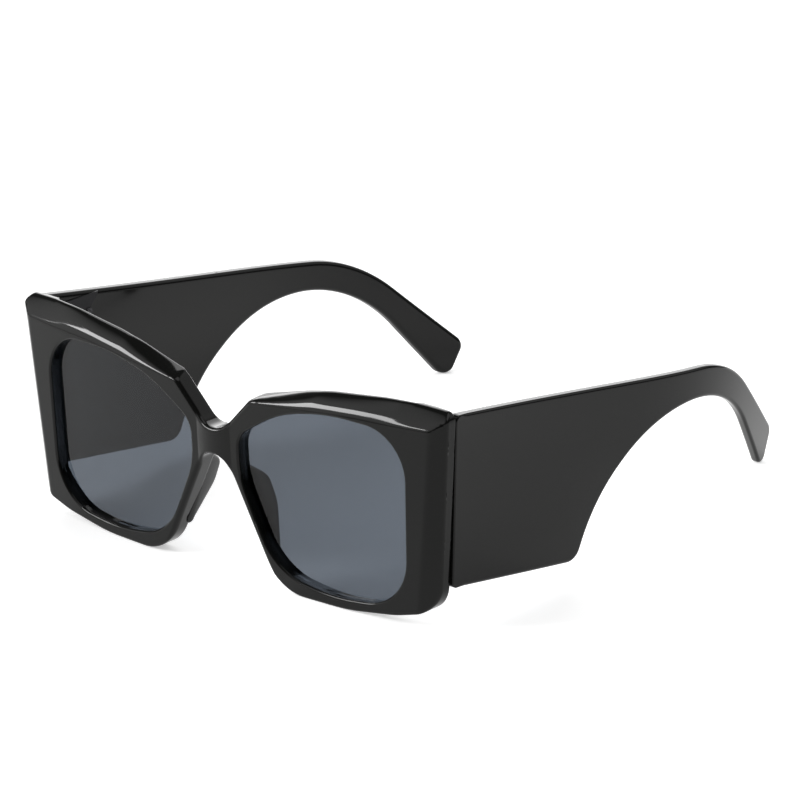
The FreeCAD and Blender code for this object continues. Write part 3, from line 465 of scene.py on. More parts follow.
class NodeTree:
    """Short ways to add and join nodes in a tree."""

    def __init__(self, tree: bpy.types.NodeTree) -> None:
        """Keep the tree that the nodes go into."""
        self.tree = tree

    def add(
        self, kind: str, feeds: dict[str | int, object] | None = None, **settings: object
    ) -> bpy.types.Node:
        """Add a node, set its properties and feed its inputs.

        Args:
            kind: Type of the node.
            feeds: Outputs or plain values for its inputs, by name or number.
            settings: Properties of the node.

        Returns:
            The new node.
        """
        node = self.tree.nodes.new(kind)
        for name, value in settings.items():
            setattr(node, name, value)
        for label, value in (feeds or {}).items():
            self.feed(node.inputs[label], value)
        return node

    def feed(self, socket: bpy.types.NodeSocket, value: object) -> None:
        """Link an output to an input, or set the input's own value."""
        if isinstance(value, bpy.types.NodeSocket):
            self.tree.links.new(value, socket)
        else:
            socket.default_value = value

    def math(self, operation: str, a: object, b: object) -> bpy.types.NodeSocket:
        """A math node on two sockets or numbers."""
        return self.add("ShaderNodeMath", {0: a, 1: b}, operation=operation).outputs[0]

    def spread(self, value: bpy.types.NodeSocket, low: float, high: float) -> bpy.types.NodeSocket:
        """Turn a share from 0 to 1 into a range."""
        feeds = {"To Min": low, "To Max": high, "Value": value}
        return self.add("ShaderNodeMapRange", feeds).outputs["Result"]


class Effects:
    """Shader groups that several finishes share."""

    grain_share: float = 0.04
    smear_from: Span = (0.45, 0.75)
    speck_radius: float = 0.06

    def __init__(self) -> None:
        """Build each group once."""
        self.moulded = self._moulded()
        self.handled = self._handled()
        self.brushed = self._brushed()

    @staticmethod
    def _group(
        name: str, inputs: dict[str, float], outputs: list[str]
    ) -> tuple[NodeTree, bpy.types.Node, bpy.types.Node, bpy.types.NodeSocket]:
        """Start a group with number inputs and outputs.

        Args:
            name: Name of the group.
            inputs: Labels of its inputs, with their usual values.
            outputs: Labels of its outputs.

        Returns:
            Its tree, its input node, its output node and the Object coordinates.
        """
        tree = bpy.data.node_groups.new(name, "ShaderNodeTree")
        for label, value in inputs.items():
            socket = tree.interface.new_socket(label, in_out="INPUT", socket_type="NodeSocketFloat")
            socket.default_value = value
        for label in outputs:
            tree.interface.new_socket(label, in_out="OUTPUT", socket_type="NodeSocketFloat")
        nodes = NodeTree(tree)
        start = nodes.add("NodeGroupInput")
        end = nodes.add("NodeGroupOutput")
        return nodes, start, end, nodes.add("ShaderNodeTexCoord").outputs["Object"]

    @staticmethod
    def _noise(
        nodes: NodeTree, vector: bpy.types.NodeSocket, scale: bpy.types.NodeSocket, detail: float
    ) -> bpy.types.NodeSocket:
        """A noise pattern on given coordinates."""
        feeds = {"Detail": detail, "Scale": scale, "Vector": vector}
        return nodes.add("ShaderNodeTexNoise", feeds).outputs["Fac"]

    def _moulded(self) -> NodeTree:
        """Faint waviness and fine polish marks of a tumbled moulding."""
        scales = {"Wave Scale": 160.0, "Grain Scale": 2600.0}
        nodes, start, end, place = self._group("moulded_polish", scales, ["Height", "Polish"])
        wave = self._noise(nodes, place, start.outputs["Wave Scale"], 1.0)
        grain = self._noise(nodes, place, start.outputs["Grain Scale"], 2.0)
        fine = nodes.math("MULTIPLY", grain, self.grain_share)
        nodes.feed(end.inputs["Height"], nodes.math("ADD", wave, fine))
        nodes.feed(end.inputs["Polish"], grain)
        return nodes

    def _handled(self) -> NodeTree:
        """Patches left by handling and scattered dust specks."""
        scales = {"Patch Scale": 45.0, "Speck Scale": 900.0}
        nodes, start, end, place = self._group("handling_marks", scales, ["Smear", "Dust"])
        patch = self._noise(nodes, place, start.outputs["Patch Scale"], 4.0)
        low, high = self.smear_from
        feeds = {"Value": patch, "From Min": low, "From Max": high}
        smear = nodes.add("ShaderNodeMapRange", feeds, interpolation_type="SMOOTHSTEP")
        nodes.feed(end.inputs["Smear"], smear.outputs["Result"])
        feeds = {"Vector": place, "Scale": start.outputs["Speck Scale"]}
        cells = nodes.add("ShaderNodeTexVoronoi", feeds)
        speck = nodes.math("LESS_THAN", cells.outputs["Distance"], self.speck_radius)
        nodes.feed(end.inputs["Dust"], nodes.math("MULTIPLY", speck, patch))
        return nodes

    def _brushed(self) -> NodeTree:
        """Fine parallel lines left by brushing sheet metal."""
        values = {"Line Scale": 900.0, "Stretch": 0.04}
        nodes, start, end, place = self._group("brushed_lines", values, ["Height", "Line"])
        split = nodes.add("ShaderNodeSeparateXYZ", {0: place}).outputs
        along = nodes.math("MULTIPLY", split["Y"], start.outputs["Stretch"])
        feeds = {"X": split["X"], "Y": along, "Z": split["Z"]}
        gather = nodes.add("ShaderNodeCombineXYZ", feeds)
        line = self._noise(nodes, gather.outputs[0], start.outputs["Line Scale"], 2.0)
        nodes.feed(end.inputs["Height"], line)
        nodes.feed(end.inputs["Line"], line)
        return nodes


def new_material(name: str) -> tuple[bpy.types.Material, NodeTree, bpy.types.Node]:
    """A node material with its main shader."""
    material = bpy.data.materials.new(name)
    material.use_nodes = True
    shader = material.node_tree.nodes["Principled BSDF"]
    return material, NodeTree(material.node_tree), shader


def place_group(nodes: NodeTree, group: NodeTree, values: dict[str, float]) -> bpy.types.Node:
    """Put a shared group in a material with its own values."""
    return nodes.add("ShaderNodeGroup", values, node_tree=group.tree)


def add_bump(
    nodes: NodeTree, shader: bpy.types.Node, height: bpy.types.NodeSocket, depth: float
) -> None:
    """Let a height pattern of a given depth in metres tilt the surface."""
    feeds = {"Distance": depth, "Strength": 1.0, "Height": height}
    bump = nodes.add("ShaderNodeBump", feeds)
    nodes.feed(shader.inputs["Normal"], bump.outputs["Normal"])


def add_two_tones(
    nodes: NodeTree,
    shader: bpy.types.Node,
    first: Tone,
    second: Tone,
    share: bpy.types.NodeSocket,
) -> None:
    """Colour a surface between two tones.

    Args:
        nodes: The material's nodes.
        shader: Its main shader.
        first: Tone where the share is 0.
        second: Tone where the share is 1.
        share: Mask that changes over the surface.
    """
    feeds = {MIX_FIRST: (*first, 1), MIX_SECOND: (*second, 1), MIX_SHARE: share}
    colour = nodes.add("ShaderNodeMix", feeds, data_type="RGBA")
    nodes.feed(shader.inputs["Base Color"], colour.outputs[MIX_RESULT])


@dataclass(frozen=True)
class PlasticFinish:
    """Dense black moulded plastic, polished or satin."""

    name: str
    tone: Tone
    dust_tone: Tone
    gloss: Span
    wave_depth: float
    index: float
    polish_share: float = 0.02

    def make(self, effects: Effects) -> bpy.types.Material:
        """Build the material.

        Args:
            effects: Shared shader groups.

        Returns:
            The finished material.
        """
        material, nodes, shader = new_material(self.name)
        shader.inputs["IOR"].default_value = self.index
        moulded = place_group(nodes, effects.moulded, {"Wave Scale": 170.0, "Grain Scale": 2400.0})
        handled = place_group(nodes, effects.handled, {"Patch Scale": 38.0, "Speck Scale": 800.0})
        add_two_tones(nodes, shader, self.tone, self.dust_tone, handled.outputs["Dust"])
        smeared = nodes.spread(handled.outputs["Smear"], *self.gloss)
        polish = nodes.math("MULTIPLY", moulded.outputs["Polish"], self.polish_share)
        nodes.feed(shader.inputs["Roughness"], nodes.math("ADD", smeared, polish))
        add_bump(nodes, shader, moulded.outputs["Height"], self.wave_depth)
        return material


@dataclass(frozen=True)
class LensFinish:
    """Smoke-tinted see-through sheet."""

    name: str = "smoke_lens"
    tint: Tone = (0.078, 0.092, 0.112)
    shade: Tone = (0.25, 0.26, 0.28)
    index: float = 1.30

    def make(self) -> bpy.types.Material:
        """Build the material, which lets tinted light through to the table."""
        material, nodes, shader = new_material(self.name)
        shader.inputs["Transmission Weight"].default_value = 1.0
        shader.inputs["IOR"].default_value = self.index
        shader.inputs["Base Color"].default_value = (*self.tint, 1)
        shader.inputs["Roughness"].default_value = 0.0
        path = nodes.add("ShaderNodeLightPath")
        clear = nodes.add("ShaderNodeBsdfTransparent", {"Color": (*self.shade, 1)})
        feeds = {0: path.outputs["Is Shadow Ray"], 1: shader.outputs[0], 2: clear.outputs[0]}
        mix = nodes.add("ShaderNodeMixShader", feeds)
        end = material.node_tree.nodes["Material Output"]
        nodes.feed(end.inputs["Surface"], mix.outputs[0])
        return material


@dataclass(frozen=True)
class MetalFinish:
    """Brushed hinge metal or turned screw steel."""

    name: str
    tone: Tone
    dark: Tone
    gloss: Span
    line_depth: float = 0.000004

    def make(self, effects: Effects) -> bpy.types.Material:
        """Build the material.

        Args:
            effects: Shared shader groups.

        Returns:
            The finished material.
        """
        material, nodes, shader = new_material(self.name)
        shader.inputs["Metallic"].default_value = 1.0
        brushed = place_group(nodes, effects.brushed, {"Line Scale": 1500.0, "Stretch": 0.05})
        handled = place_group(nodes, effects.handled, {"Patch Scale": 220.0, "Speck Scale": 2200.0})
        add_two_tones(nodes, shader, self.tone, self.dark, handled.outputs["Smear"])
        rough = nodes.spread(brushed.outputs["Line"], *self.gloss)
        nodes.feed(shader.inputs["Roughness"], rough)
        add_bump(nodes, shader, brushed.outputs["Height"], self.line_depth)
        return material


@dataclass(frozen=True)
class Finishes:
    """The materials of the sunglasses."""

    frame: bpy.types.Material
    lens: bpy.types.Material
    pad: bpy.types.Material
    hinge: bpy.types.Material
    screw: bpy.types.Material

    @classmethod
    def make(cls) -> "Finishes":
        """Build every finish once."""
        effects = Effects()
        frame_black = PlasticFinish(
            name="gloss_black",
            tone=(0.0040, 0.0042, 0.0038),
            dust_tone=(0.03, 0.03, 0.028),
            gloss=(0.05, 0.10),
            wave_depth=0.000005,
            index=1.28,
        )
        pad_black = PlasticFinish(
            name="satin_black",
            tone=(0.009, 0.009, 0.0085),
            dust_tone=(0.04, 0.04, 0.038),
            gloss=(0.22, 0.32),
            wave_depth=0.000006,
            index=1.36,
        )
        hinge_metal = MetalFinish(
            name="black_plated_metal",
            tone=(0.018, 0.018, 0.019),
            dark=(0.013, 0.013, 0.014),
            gloss=(0.26, 0.42),
        )
        screw_steel = MetalFinish(
            name="black_plated_steel",
            tone=(0.045, 0.045, 0.048),
            dark=(0.03, 0.03, 0.032),
            gloss=(0.2, 0.34),
        )
        return cls(
            frame=frame_black.make(effects),
            lens=LensFinish().make(),
            pad=pad_black.make(effects),
            hinge=hinge_metal.make(effects),
            screw=screw_steel.make(effects),
        )


EYE_CORNERS: list[Corner] = [
    (8.2, 37.9, 6.5),
    (8.2, 27.2, 20.0),
    (18.8, 5.3, 18.0),
    (37.0, 2.4, 60.0),
    (60.4, 4.6, 14.0),
    (61.7, 49.0, 12.0),
    (38.0, 49.7, 60.0),
    (22.5, 46.6, 40.0),
]


def on_front(points: np.ndarray, height: np.ndarray) -> np.ndarray:
    """Place points given across and up, with their height towards the viewer."""
    return np.column_stack([points[:, 0], -height, points[:, 1]])


def on_side(points: np.ndarray, height: np.ndarray) -> np.ndarray:
    """Place points given back and up, with their distance from the middle."""
    return np.column_stack([height, points[:, 0], points[:, 1]])


@dataclass
class FrontMoulding:
    """The front: two rims, bridge, brow facets, side facets and end pieces."""

    depth: float = 8.65
    wrap_radius: float = 631.0
    thickness: float = 5.2
    rear_radius: float = 640.0
    bulge: float = 0.9
    bulge_half_width: float = 5.7
    butt: float = 0.75
    boss_inner: float = 61.6
    boss_ramp: float = 1.5
    nose_flare: float = 0.04
    nose_round: float = 1.2
    side_low: Span = (68.6, 5.0)
    side_top: Span = (73.3, 55.8)
    side_facet_width: float = 4.1
    side_facet_depth: float = 3.1
    brow_slope_inner: float = 0.46
    brow_slope_outer: float = 0.82
    brow_least_rise: float = 1.3
    brow_edge: float = 0.8
    brow_start: Span = (-6.0, 45.4)
    brow_bend: Span = (40.0, 50.2)
    brow_end: Span = (86.0, 52.4)
    brow_bend_reach: float = 5.0
    crease_width: float = 0.42
    brow_crease_inner: float = 0.15
    joint_round: float = 0.3
    edge_round: float = 0.6
    rear_round: float = 0.7
    opening_round: float = 0.6
    opening_rear_round: float = 0.4
    opening_flare: float = 2.8
    opening_flare_nose: float = 0.6
    bridge_round: float = 0.5
    bridge_rear_round: float = 0.3
    bulge_crease: float = 0.03
    outline_step: float = 0.7
    eye_step: float = 0.9
    guide_step: float = 0.8
    brow_slope_across: Span = (46.0, 70.0)
    brow_crease_across: Span = (30.0, 56.0)
    opening_across: Span = (46.0, 58.0)
    opening_rise: Span = (6.0, 18.0)
    opening_top: Span = (40.0, 48.0)
    bridge_across: Span = (11.0, 17.0)
    bridge_rise: Span = (33.5, 36.0)
    nose_across: Span = (16.0, 19.0)
    nose_rise: Span = (26.0, 30.0)
    nose_reach: Span = (30.0, 31.6)
    flare_across: Span = (0.0, 1.2)
    flare_rise: Span = (0.0, 7.5)
    joint_across: Span = (64.0, 67.0)
    crease_offsets: tuple[float, ...] = (
        *(-1.5, -0.9, -0.55, -0.3, -0.12),
        *(0.06, 0.25, 0.5, 0.85, 1.4, 2.1),
    )
    bulge_offsets: tuple[float, ...] = (-0.35, -0.12, 0.0, 0.12, 0.35)
    ramp_offsets: tuple[float, ...] = (-0.35, 0.0, 0.2, 1.3, 1.5, 1.85)
    half_outline: list[Corner] = field(
        default_factory=lambda: [
            (3.3, 31.5, 5.0),
            (19.6, 0.0, 14.0),
            (42.0, 0.0, 60.0),
            (57.0, 2.0, 36.0),
            (68.6, 5.0, 8.0),
            (73.3, 55.8, 2.2),
            (58.0, 56.4, 100.0),
            (33.0, 53.8, 80.0),
            (13.2, 48.7, 5.6),
            (2.9, 38.3, 6.4),
        ]
    )

    def wrap(self, x: np.ndarray) -> np.ndarray:
        """Front face before its facets, by distance from the middle."""
        return -self.depth + self.wrap_radius - np.sqrt(self.wrap_radius**2 - x * x)

    def brow_line(self, x: np.ndarray) -> np.ndarray:
        """Height of the crease where the brow facet leaves the front."""
        x = np.abs(x)
        (x0, z0), (x1, z1), (x2, z2) = self.brow_start, self.brow_bend, self.brow_end
        inner = z0 + (z1 - z0) / (x1 - x0) * (x - x0)
        outer = z1 + (z2 - z1) / (x2 - x1) * (x - x1)
        width = self.brow_bend_reach * ((z1 - z0) / (x1 - x0) - (z2 - z1) / (x2 - x1))
        return -soft_max(-inner, -outer, width)

    def top_line(self, x: np.ndarray) -> np.ndarray:
        """Top of the outline over the brows."""
        corners = self.half_outline[5:9]
        x = np.abs(x)
        rises = []
        for (x0, z0, _), (x1, z1, _) in zip(corners, corners[1:]):
            rises.append(z0 + (z1 - z0) / (x1 - x0) * (x - x0))
        return np.min(rises, axis=0)

    def brow(self, x: np.ndarray, z: np.ndarray) -> np.ndarray:
        """Depth of the brow facet, which is flat at its outer end and rounded towards the bridge."""
        inner, outer = self.brow_slope_inner, self.brow_slope_outer
        slope = inner + (outer - inner) * eased(np.abs(x), *self.brow_slope_across)
        line = self.brow_line(x)
        rise = np.maximum(self.top_line(x) - line, self.brow_least_rise)
        share = (z - line) / rise
        reach = self.back(x) - self.brow_edge - self.wrap(x)
        first = np.minimum(slope * rise, reach)
        return self.wrap(x) + first * share + (reach - first) * share**3

    def side(self, x: np.ndarray, z: np.ndarray) -> np.ndarray:
        """Depth of the side facet."""
        lean = (self.side_top[0] - self.side_low[0]) / (self.side_top[1] - self.side_low[1])
        low = self.side_low[0] - self.side_facet_width
        crease = low + lean * (z - self.side_low[1])
        slope = self.side_facet_depth / self.side_facet_width
        return self.wrap(np.array(low)) + slope * (np.abs(x) - crease)

    def front(self, points: np.ndarray) -> np.ndarray:
        """Front face with bridge and facets, as a height towards the viewer."""
        x, z = points[:, 0], points[:, 1]
        face = self.wrap(x)
        apex = self.depth + self.bulge
        sag = float(self.wrap(np.array(self.bulge_half_width))) + apex
        radius = (self.bulge_half_width**2 + sag**2) / (2 * sag)
        near = np.minimum(np.abs(x), radius)
        swell = -apex + radius - np.sqrt(np.maximum(radius**2 - near**2, 0))
        face = -soft_max(-face, -swell, self.bulge_crease)
        face = soft_max(face, self.side(x, z), self.crease_width)
        outer = eased(np.abs(x), *self.brow_crease_across)
        soft = self.brow_crease_inner + (self.crease_width - self.brow_crease_inner) * outer
        face = soft_max(face, self.brow(x, z), soft)
        return -face

    def back(self, x: np.ndarray) -> np.ndarray:
        """Rear face between the end pieces' bosses."""
        return -self.depth + self.thickness + self.rear_radius - np.sqrt(self.rear_radius**2 - x * x)

    def rear(self, points: np.ndarray) -> np.ndarray:
        """Rear face with the end pieces' bosses, as a height towards the viewer."""
        x = np.abs(points[:, 0])
        face = self.back(x)
        share = np.clip((x - self.boss_inner) / self.boss_ramp, 0, 1)
        return -(face + (self.butt - face) * share)

    def flared(self, loop: Loop) -> Loop:
        """The outline at the rear, where the nose walls stand further apart."""
        x, z = loop[:, 0], loop[:, 1]
        nose = (np.abs(x) < self.nose_reach[0]) & (z < self.nose_reach[1])
        push = self.nose_flare * self.thickness * eased(z, *self.flare_rise)
        push = push * eased(np.abs(x), *self.flare_across)
        moved = x + np.sign(x) * np.where(nose, push, 0.0)
        return np.column_stack([moved, z])

    def opened(self, loop: Loop, share: float = 1.0) -> Loop:
        """An opening's wall, which widens towards the rear and least beside the nose.

        Args:
            loop: The opening at the front.
            share: How far back, from 0 at the front to 1 at the rear.

        Returns:
            The opening there.
        """
        x, z = np.abs(loop[:, 0]), loop[:, 1]
        nose = self.opening_flare_nose
        outer = eased(x, *self.opening_across) * eased(z, *self.opening_rise)
        wide = nose + (self.opening_flare - nose) * outer
        return stepped_in(loop, share * wide * fading(z, *self.opening_top))

    def guides(self) -> list[np.ndarray]:
        """Lines along the brow creases, side creases and the ridges between the facets."""
        lines = []
        for offset in self.crease_offsets:
            x = np.arange(8.0, 72.0, self.guide_step)
            z = self.brow_line(x) + offset
            keep = self.side(x, z) < self.brow(x, z) + 0.4
            lines.append(np.column_stack([x, z])[keep])
            z = np.arange(5.5, 50.5, self.guide_step)
            x = np.full_like(z, 66.0)
            for _ in range(12):
                x = x - (self.side(x, z) - self.wrap(x)) / 0.65
            x = x + offset
            keep = self.brow(x, z) < self.wrap(x) - 0.5
            lines.append(np.column_stack([x, z])[keep])
        x = np.arange(69.4, 73.0, 0.25)
        z = self.brow_line(x)
        for _ in range(30):
            z = z - 0.5 * (self.brow(x, z) - self.side(x, z)) / 1.7
        lines.append(np.column_stack([x, z])[2:])
        z = np.arange(30.0, 41.0, 0.6)
        for offset in self.bulge_offsets:
            x = np.full_like(z, self.bulge_half_width + offset)
            lines.append(np.column_stack([x, z]))
        return lines + [line * [-1, 1] for line in lines]

    def ramps(self) -> list[np.ndarray]:
        """Lines along the foot and top of the bosses on the rear."""
        z = np.arange(1.0, 56.0, 1.0)
        lines = []
        for offset in self.ramp_offsets:
            x = np.full_like(z, self.boss_inner + offset)
            lines.append(np.column_stack([x, z]))
        return lines + [line * [-1, 1] for line in lines]

    def build(self, finishes: Finishes) -> None:
        """Make and dress the front."""
        outline = rounded(mirrored_corners(self.half_outline), step=self.outline_step)
        eye = rounded(EYE_CORNERS, step=self.eye_step)
        across, up = np.abs(outline[:, 0]), outline[:, 1]
        bridge = fading(across, *self.bridge_across) * eased(up, *self.bridge_rise)
        nose = fading(across, *self.nose_across) * fading(up, *self.nose_rise)
        edge = self.edge_round + self.bridge_round * bridge
        edge = edge + (self.nose_round - self.edge_round) * nose
        end = eased(across, *self.joint_across)
        rear = self.rear_round + self.bridge_rear_round * bridge
        rear = rear + (self.joint_round - self.rear_round) * end
        loops = [outline, eye[::-1], eye * [-1, 1]]
        plate = Plate(
            upper_loops=loops,
            lower_loops=[self.flared(outline), *map(self.opened, loops[1:])],
            upper_face=self.front,
            lower_face=self.rear,
            upper_round=[edge, self.opening_round, self.opening_round],
            lower_round=[rear, self.opening_rear_round, self.opening_rear_round],
            upper_guides=self.guides(),
            lower_guides=self.ramps(),
        )
        mesh = plate.build("front_moulding", on_front)
        show(mesh, FRONT_BODY, ["front_frame"], finishes.frame)


@dataclass
class LensPair:
    """Two curved lenses, held by the groove in the rims."""

    recess: float = 2.1
    thickness: float = 1.4
    groove: float = 0.3
    edge_round: float = 0.2

    def build(self, finishes: Finishes, front: FrontMoulding) -> None:
        """Make and dress both lenses.

        Args:
            finishes: Materials.
            front: The front whose wrap the lenses follow.
        """
        back = (self.recess + self.thickness) / front.thickness
        wall = front.opened(rounded(EYE_CORNERS)[::-1], back)
        loop = stepped_in(wall, self.groove)[::-1]
        plate = Plate(
            upper_loops=[loop],
            lower_loops=[loop],
            upper_face=lambda points: -front.wrap(points[:, 0]) - self.recess,
            lower_face=lambda points: -front.wrap(points[:, 0]) - self.recess - self.thickness,
            upper_round=[self.edge_round],
            lower_round=[self.edge_round],
            grid=2.6,
        )
        for side, mesh in both_sides(plate, "smoke_lens", on_front):
            show(mesh, FRONT_BODY, [f"lens_{side.word}"], finishes.lens)


@dataclass
class NosePads:
    """Two lobes behind the rims, either side of the nose."""

    wall: float = 3.66
    run: float = 16.3 / 31.5
    arch: float = 31.5
    turn: float = 0.09
    mid_height: float = 22.15
    thickness: float = 2.8
    edge_round: float = 0.85
    lobe: list[Corner] = field(
        default_factory=lambda: [
            (-4.6, 4.5, 0.8),
            (1.15, 19.0, 9.0),
            (1.15, 25.3, 3.6),
            (-4.6, 29.8, 0.8),
        ]
    )

    def near(self, points: np.ndarray) -> np.ndarray:
        """Side of the pad that the nose touches, from the middle."""
        z = points[:, 1]
        return self.wall + self.run * (self.arch - z) + self.turn * (z - self.mid_height)

    def build(self, finishes: Finishes) -> None:
        """Make and dress both pads."""
        loop = rounded(self.lobe, step=0.6, turn=8.0)
        plate = Plate(
            upper_loops=[loop],
            lower_loops=[loop],
            upper_face=lambda points: self.near(points) + self.thickness,
            lower_face=self.near,
            upper_round=[self.edge_round],
            lower_round=[self.edge_round],
            grid=0.8,
            crown=0.25,
            crown_width=2.6,
        )
        for side, mesh in both_sides(plate, "nose_rest", on_side):
            show(mesh, FRONT_BODY, [f"nose_pad_{side.word}"], finishes.pad)


@dataclass
class Temples:
    """Two side arms: a deep front panel, a cut-out and a down-turned ear end."""

    thickness: float = 3.2
    lean_pivot: float = 28.0
    outer_round: float = 0.9
    inner_round: float = 1.2
    joint_round: float = 0.35
    joint_reach: Span = (2.0, 5.0)
    stations: list[tuple[float, float, float]] = field(
        default_factory=lambda: [
            (-3.25, 69.75, 0.08),
            (30.0, 69.6, 0.025),
            (62.0, 69.4, 0.005),
            (92.0, 67.9, 0.01),
            (116.0, 62.55, 0.06),
            (142.0, 53.75, 0.08),
        ]
    )
    profile: list[Corner] = field(
        default_factory=lambda: [
            (0.82, 10.1, 1.6),
            (44.3, 3.6, 4.5),
            (51.7, 17.6, 42.0),
            (73.4, 31.9, 45.0),
            (107.1, 31.9, 38.4),
            (131.84, -2.338, 2.8),
            (137.6, 7.6, 3.2),
            (108.8, 37.0, 44.0),
            (0.82, 55.0, 1.8),
        ]
    )

    def __post_init__(self) -> None:
        """Fit the arm's mid line and its lean through the stations."""
        at = [s[0] for s in self.stations]
        self.mid_line = SmoothLine(at, [s[1] for s in self.stations])
        self.lean_line = SmoothLine(at, [s[2] for s in self.stations])

    def middle(self, points: np.ndarray) -> np.ndarray:
        """Middle of the arm's thickness, from the middle of the face."""
        y, z = points[:, 0], points[:, 1]
        return self.mid_line(y) + self.lean_line(y) * (z - self.lean_pivot)

    def build(self, finishes: Finishes) -> None:
        """Make and dress both arms."""
        loop = rounded(self.profile)
        joint = fading(loop[:, 0], *self.joint_reach)
        plate = Plate(
            upper_loops=[loop],
            lower_loops=[loop],
            upper_face=lambda points: self.middle(points) + self.thickness / 2,
            lower_face=lambda points: self.middle(points) - self.thickness / 2,
            upper_round=[self.outer_round + (self.joint_round - self.outer_round) * joint],
            lower_round=[self.inner_round],
            grid=2.4,
        )
        for side, mesh in both_sides(plate, "temple_arm", on_side):
            show(mesh, side.temple_body, [f"temple_{side.word}"], finishes.frame)


@dataclass
class HingeHardware:
    """Hinge leaves, pivot screws and the screws that hold the leaves."""

    head_radius: float = 1.0
    head_top_radius: float = 0.8
    head_height: float = 0.45
    slot_width: float = 0.4
    slot_depth: float = 0.3
    shank_radius: float = 0.55
    shank_length: float = 2.6
    slot_reach: float = 10.0
    head_facets: int = 40
    shank_facets: int = 20
    turn_seed: int = 4
    merge_reach: float = 2e-6
    sharp_angle: float = 30.0
    front_spots: tuple[Spot, ...] = ((65.7, 0.95, 41.0), (65.7, 0.95, 53.0))
    temple_spots: tuple[Spot, ...] = ((68.95, 10.2, 47.0), (68.95, 15.8, 47.0))

    def build(self, finishes: Finishes) -> None:
        """Make and dress every piece of both hinges."""
        for side in Side:
            for end, body in ((FRONT_BODY, FRONT_BODY), ("temple", side.temple_body)):
                node = f"{end}_hinge_leaf_{side.word}"
                leaf = self._smooth_copy(node, f"{end}_leaf_{side.word}")
                show(leaf, body, [node], finishes.hinge)
            node = f"hinge_screw_{side.word}"
            pivot = self._smooth_copy(node, f"pivot_screw_{side.word}")
            show(pivot, FRONT_BODY, [node], finishes.screw)
        tree = self._screw_tree()
        spots = [((s.value * x, y, z), (0, 1, 0)) for s in Side for x, y, z in self.front_spots]
        nodes = [f"front_leaf_screws_{s.word}" for s in Side]
        mesh = self._screws("front_leaf_fixings", tree, spots, finishes.screw)
        show(mesh, FRONT_BODY, nodes, finishes.screw)
        for side in Side:
            spots = [((side.value * x, y, z), (-side.value, 0, 0)) for x, y, z in self.temple_spots]
            mesh = self._screws(f"temple_leaf_fixings_{side.word}", tree, spots, finishes.screw)
            show(mesh, side.temple_body, [f"temple_leaf_screws_{side.word}"], finishes.screw)

    def _smooth_copy(self, node: str, name: str) -> bpy.types.Mesh:
        """A merged copy of a node's mesh, smooth except at its sharp edges.

        Args:
            node: Node to copy.
            name: Name of the new mesh.

        Returns:
            The new mesh.
        """
        source = frame["nodes"][node].data.copy()
        shell = bmesh.new()
        shell.from_mesh(source)
        bmesh.ops.remove_doubles(shell, verts=shell.verts, dist=self.merge_reach)
        shell.to_mesh(source)
        shell.free()
        source.shade_smooth()
        source.set_sharp_from_angle(angle=math.radians(self.sharp_angle))
        source.name = name
        return source

    def _sizes(self) -> dict[str, float]:
        """Sizes of a leaf screw in metres, by the names of the tree's inputs."""
        return {
            "Head Radius": self.head_radius * MM,
            "Head Top Radius": self.head_top_radius * MM,
            "Head Height": self.head_height * MM,
            "Slot Width": self.slot_width * MM,
            "Slot Depth": self.slot_depth * MM,
            "Shank Radius": self.shank_radius * MM,
            "Shank Length": self.shank_length * MM,
        }

    @staticmethod
    def _lifted(
        nodes: NodeTree, shape: bpy.types.NodeSocket, rise: bpy.types.NodeSocket
    ) -> bpy.types.NodeSocket:
        """Move a shape along its own axis."""
        way = nodes.add("ShaderNodeCombineXYZ", {"Z": rise})
        feeds = {"Geometry": shape, "Translation": way.outputs[0]}
        return nodes.add("GeometryNodeTransform", feeds).outputs[0]

    def _one_screw(
        self, nodes: NodeTree, size: dict[str, bpy.types.NodeSocket]
    ) -> bpy.types.NodeSocket:
        """A slotted head with its shank.

        Args:
            nodes: The tree's nodes.
            size: The tree's size inputs by name.

        Returns:
            The screw's geometry, along Z.
        """
        feeds = {
            "Vertices": self.head_facets,
            "Radius Top": size["Head Top Radius"],
            "Radius Bottom": size["Head Radius"],
            "Depth": size["Head Height"],
        }
        head = nodes.add("GeometryNodeMeshCone", feeds)
        deep = nodes.math("MULTIPLY", size["Slot Depth"], 2.0)
        feeds = {"X": self.slot_reach * MM, "Y": size["Slot Width"], "Z": deep}
        block = nodes.add("ShaderNodeCombineXYZ", feeds)
        slot = nodes.add("GeometryNodeMeshCube", {"Size": block.outputs[0]})
        raised = self._lifted(nodes, slot.outputs["Mesh"], size["Head Height"])
        feeds = {"Mesh 1": head.outputs["Mesh"], "Mesh 2": raised}
        cut = nodes.add("GeometryNodeMeshBoolean", feeds, operation="DIFFERENCE")
        feeds = {
            "Vertices": self.shank_facets,
            "Radius": size["Shank Radius"],
            "Depth": size["Shank Length"],
        }
        shank = nodes.add("GeometryNodeMeshCylinder", feeds)
        drop = nodes.math("MULTIPLY", size["Shank Length"], -0.5)
        sunk = self._lifted(nodes, shank.outputs["Mesh"], drop)
        whole = nodes.add("GeometryNodeJoinGeometry")
        nodes.feed(whole.inputs[0], cut.outputs["Mesh"])
        nodes.feed(whole.inputs[0], sunk)
        return whole.outputs[0]

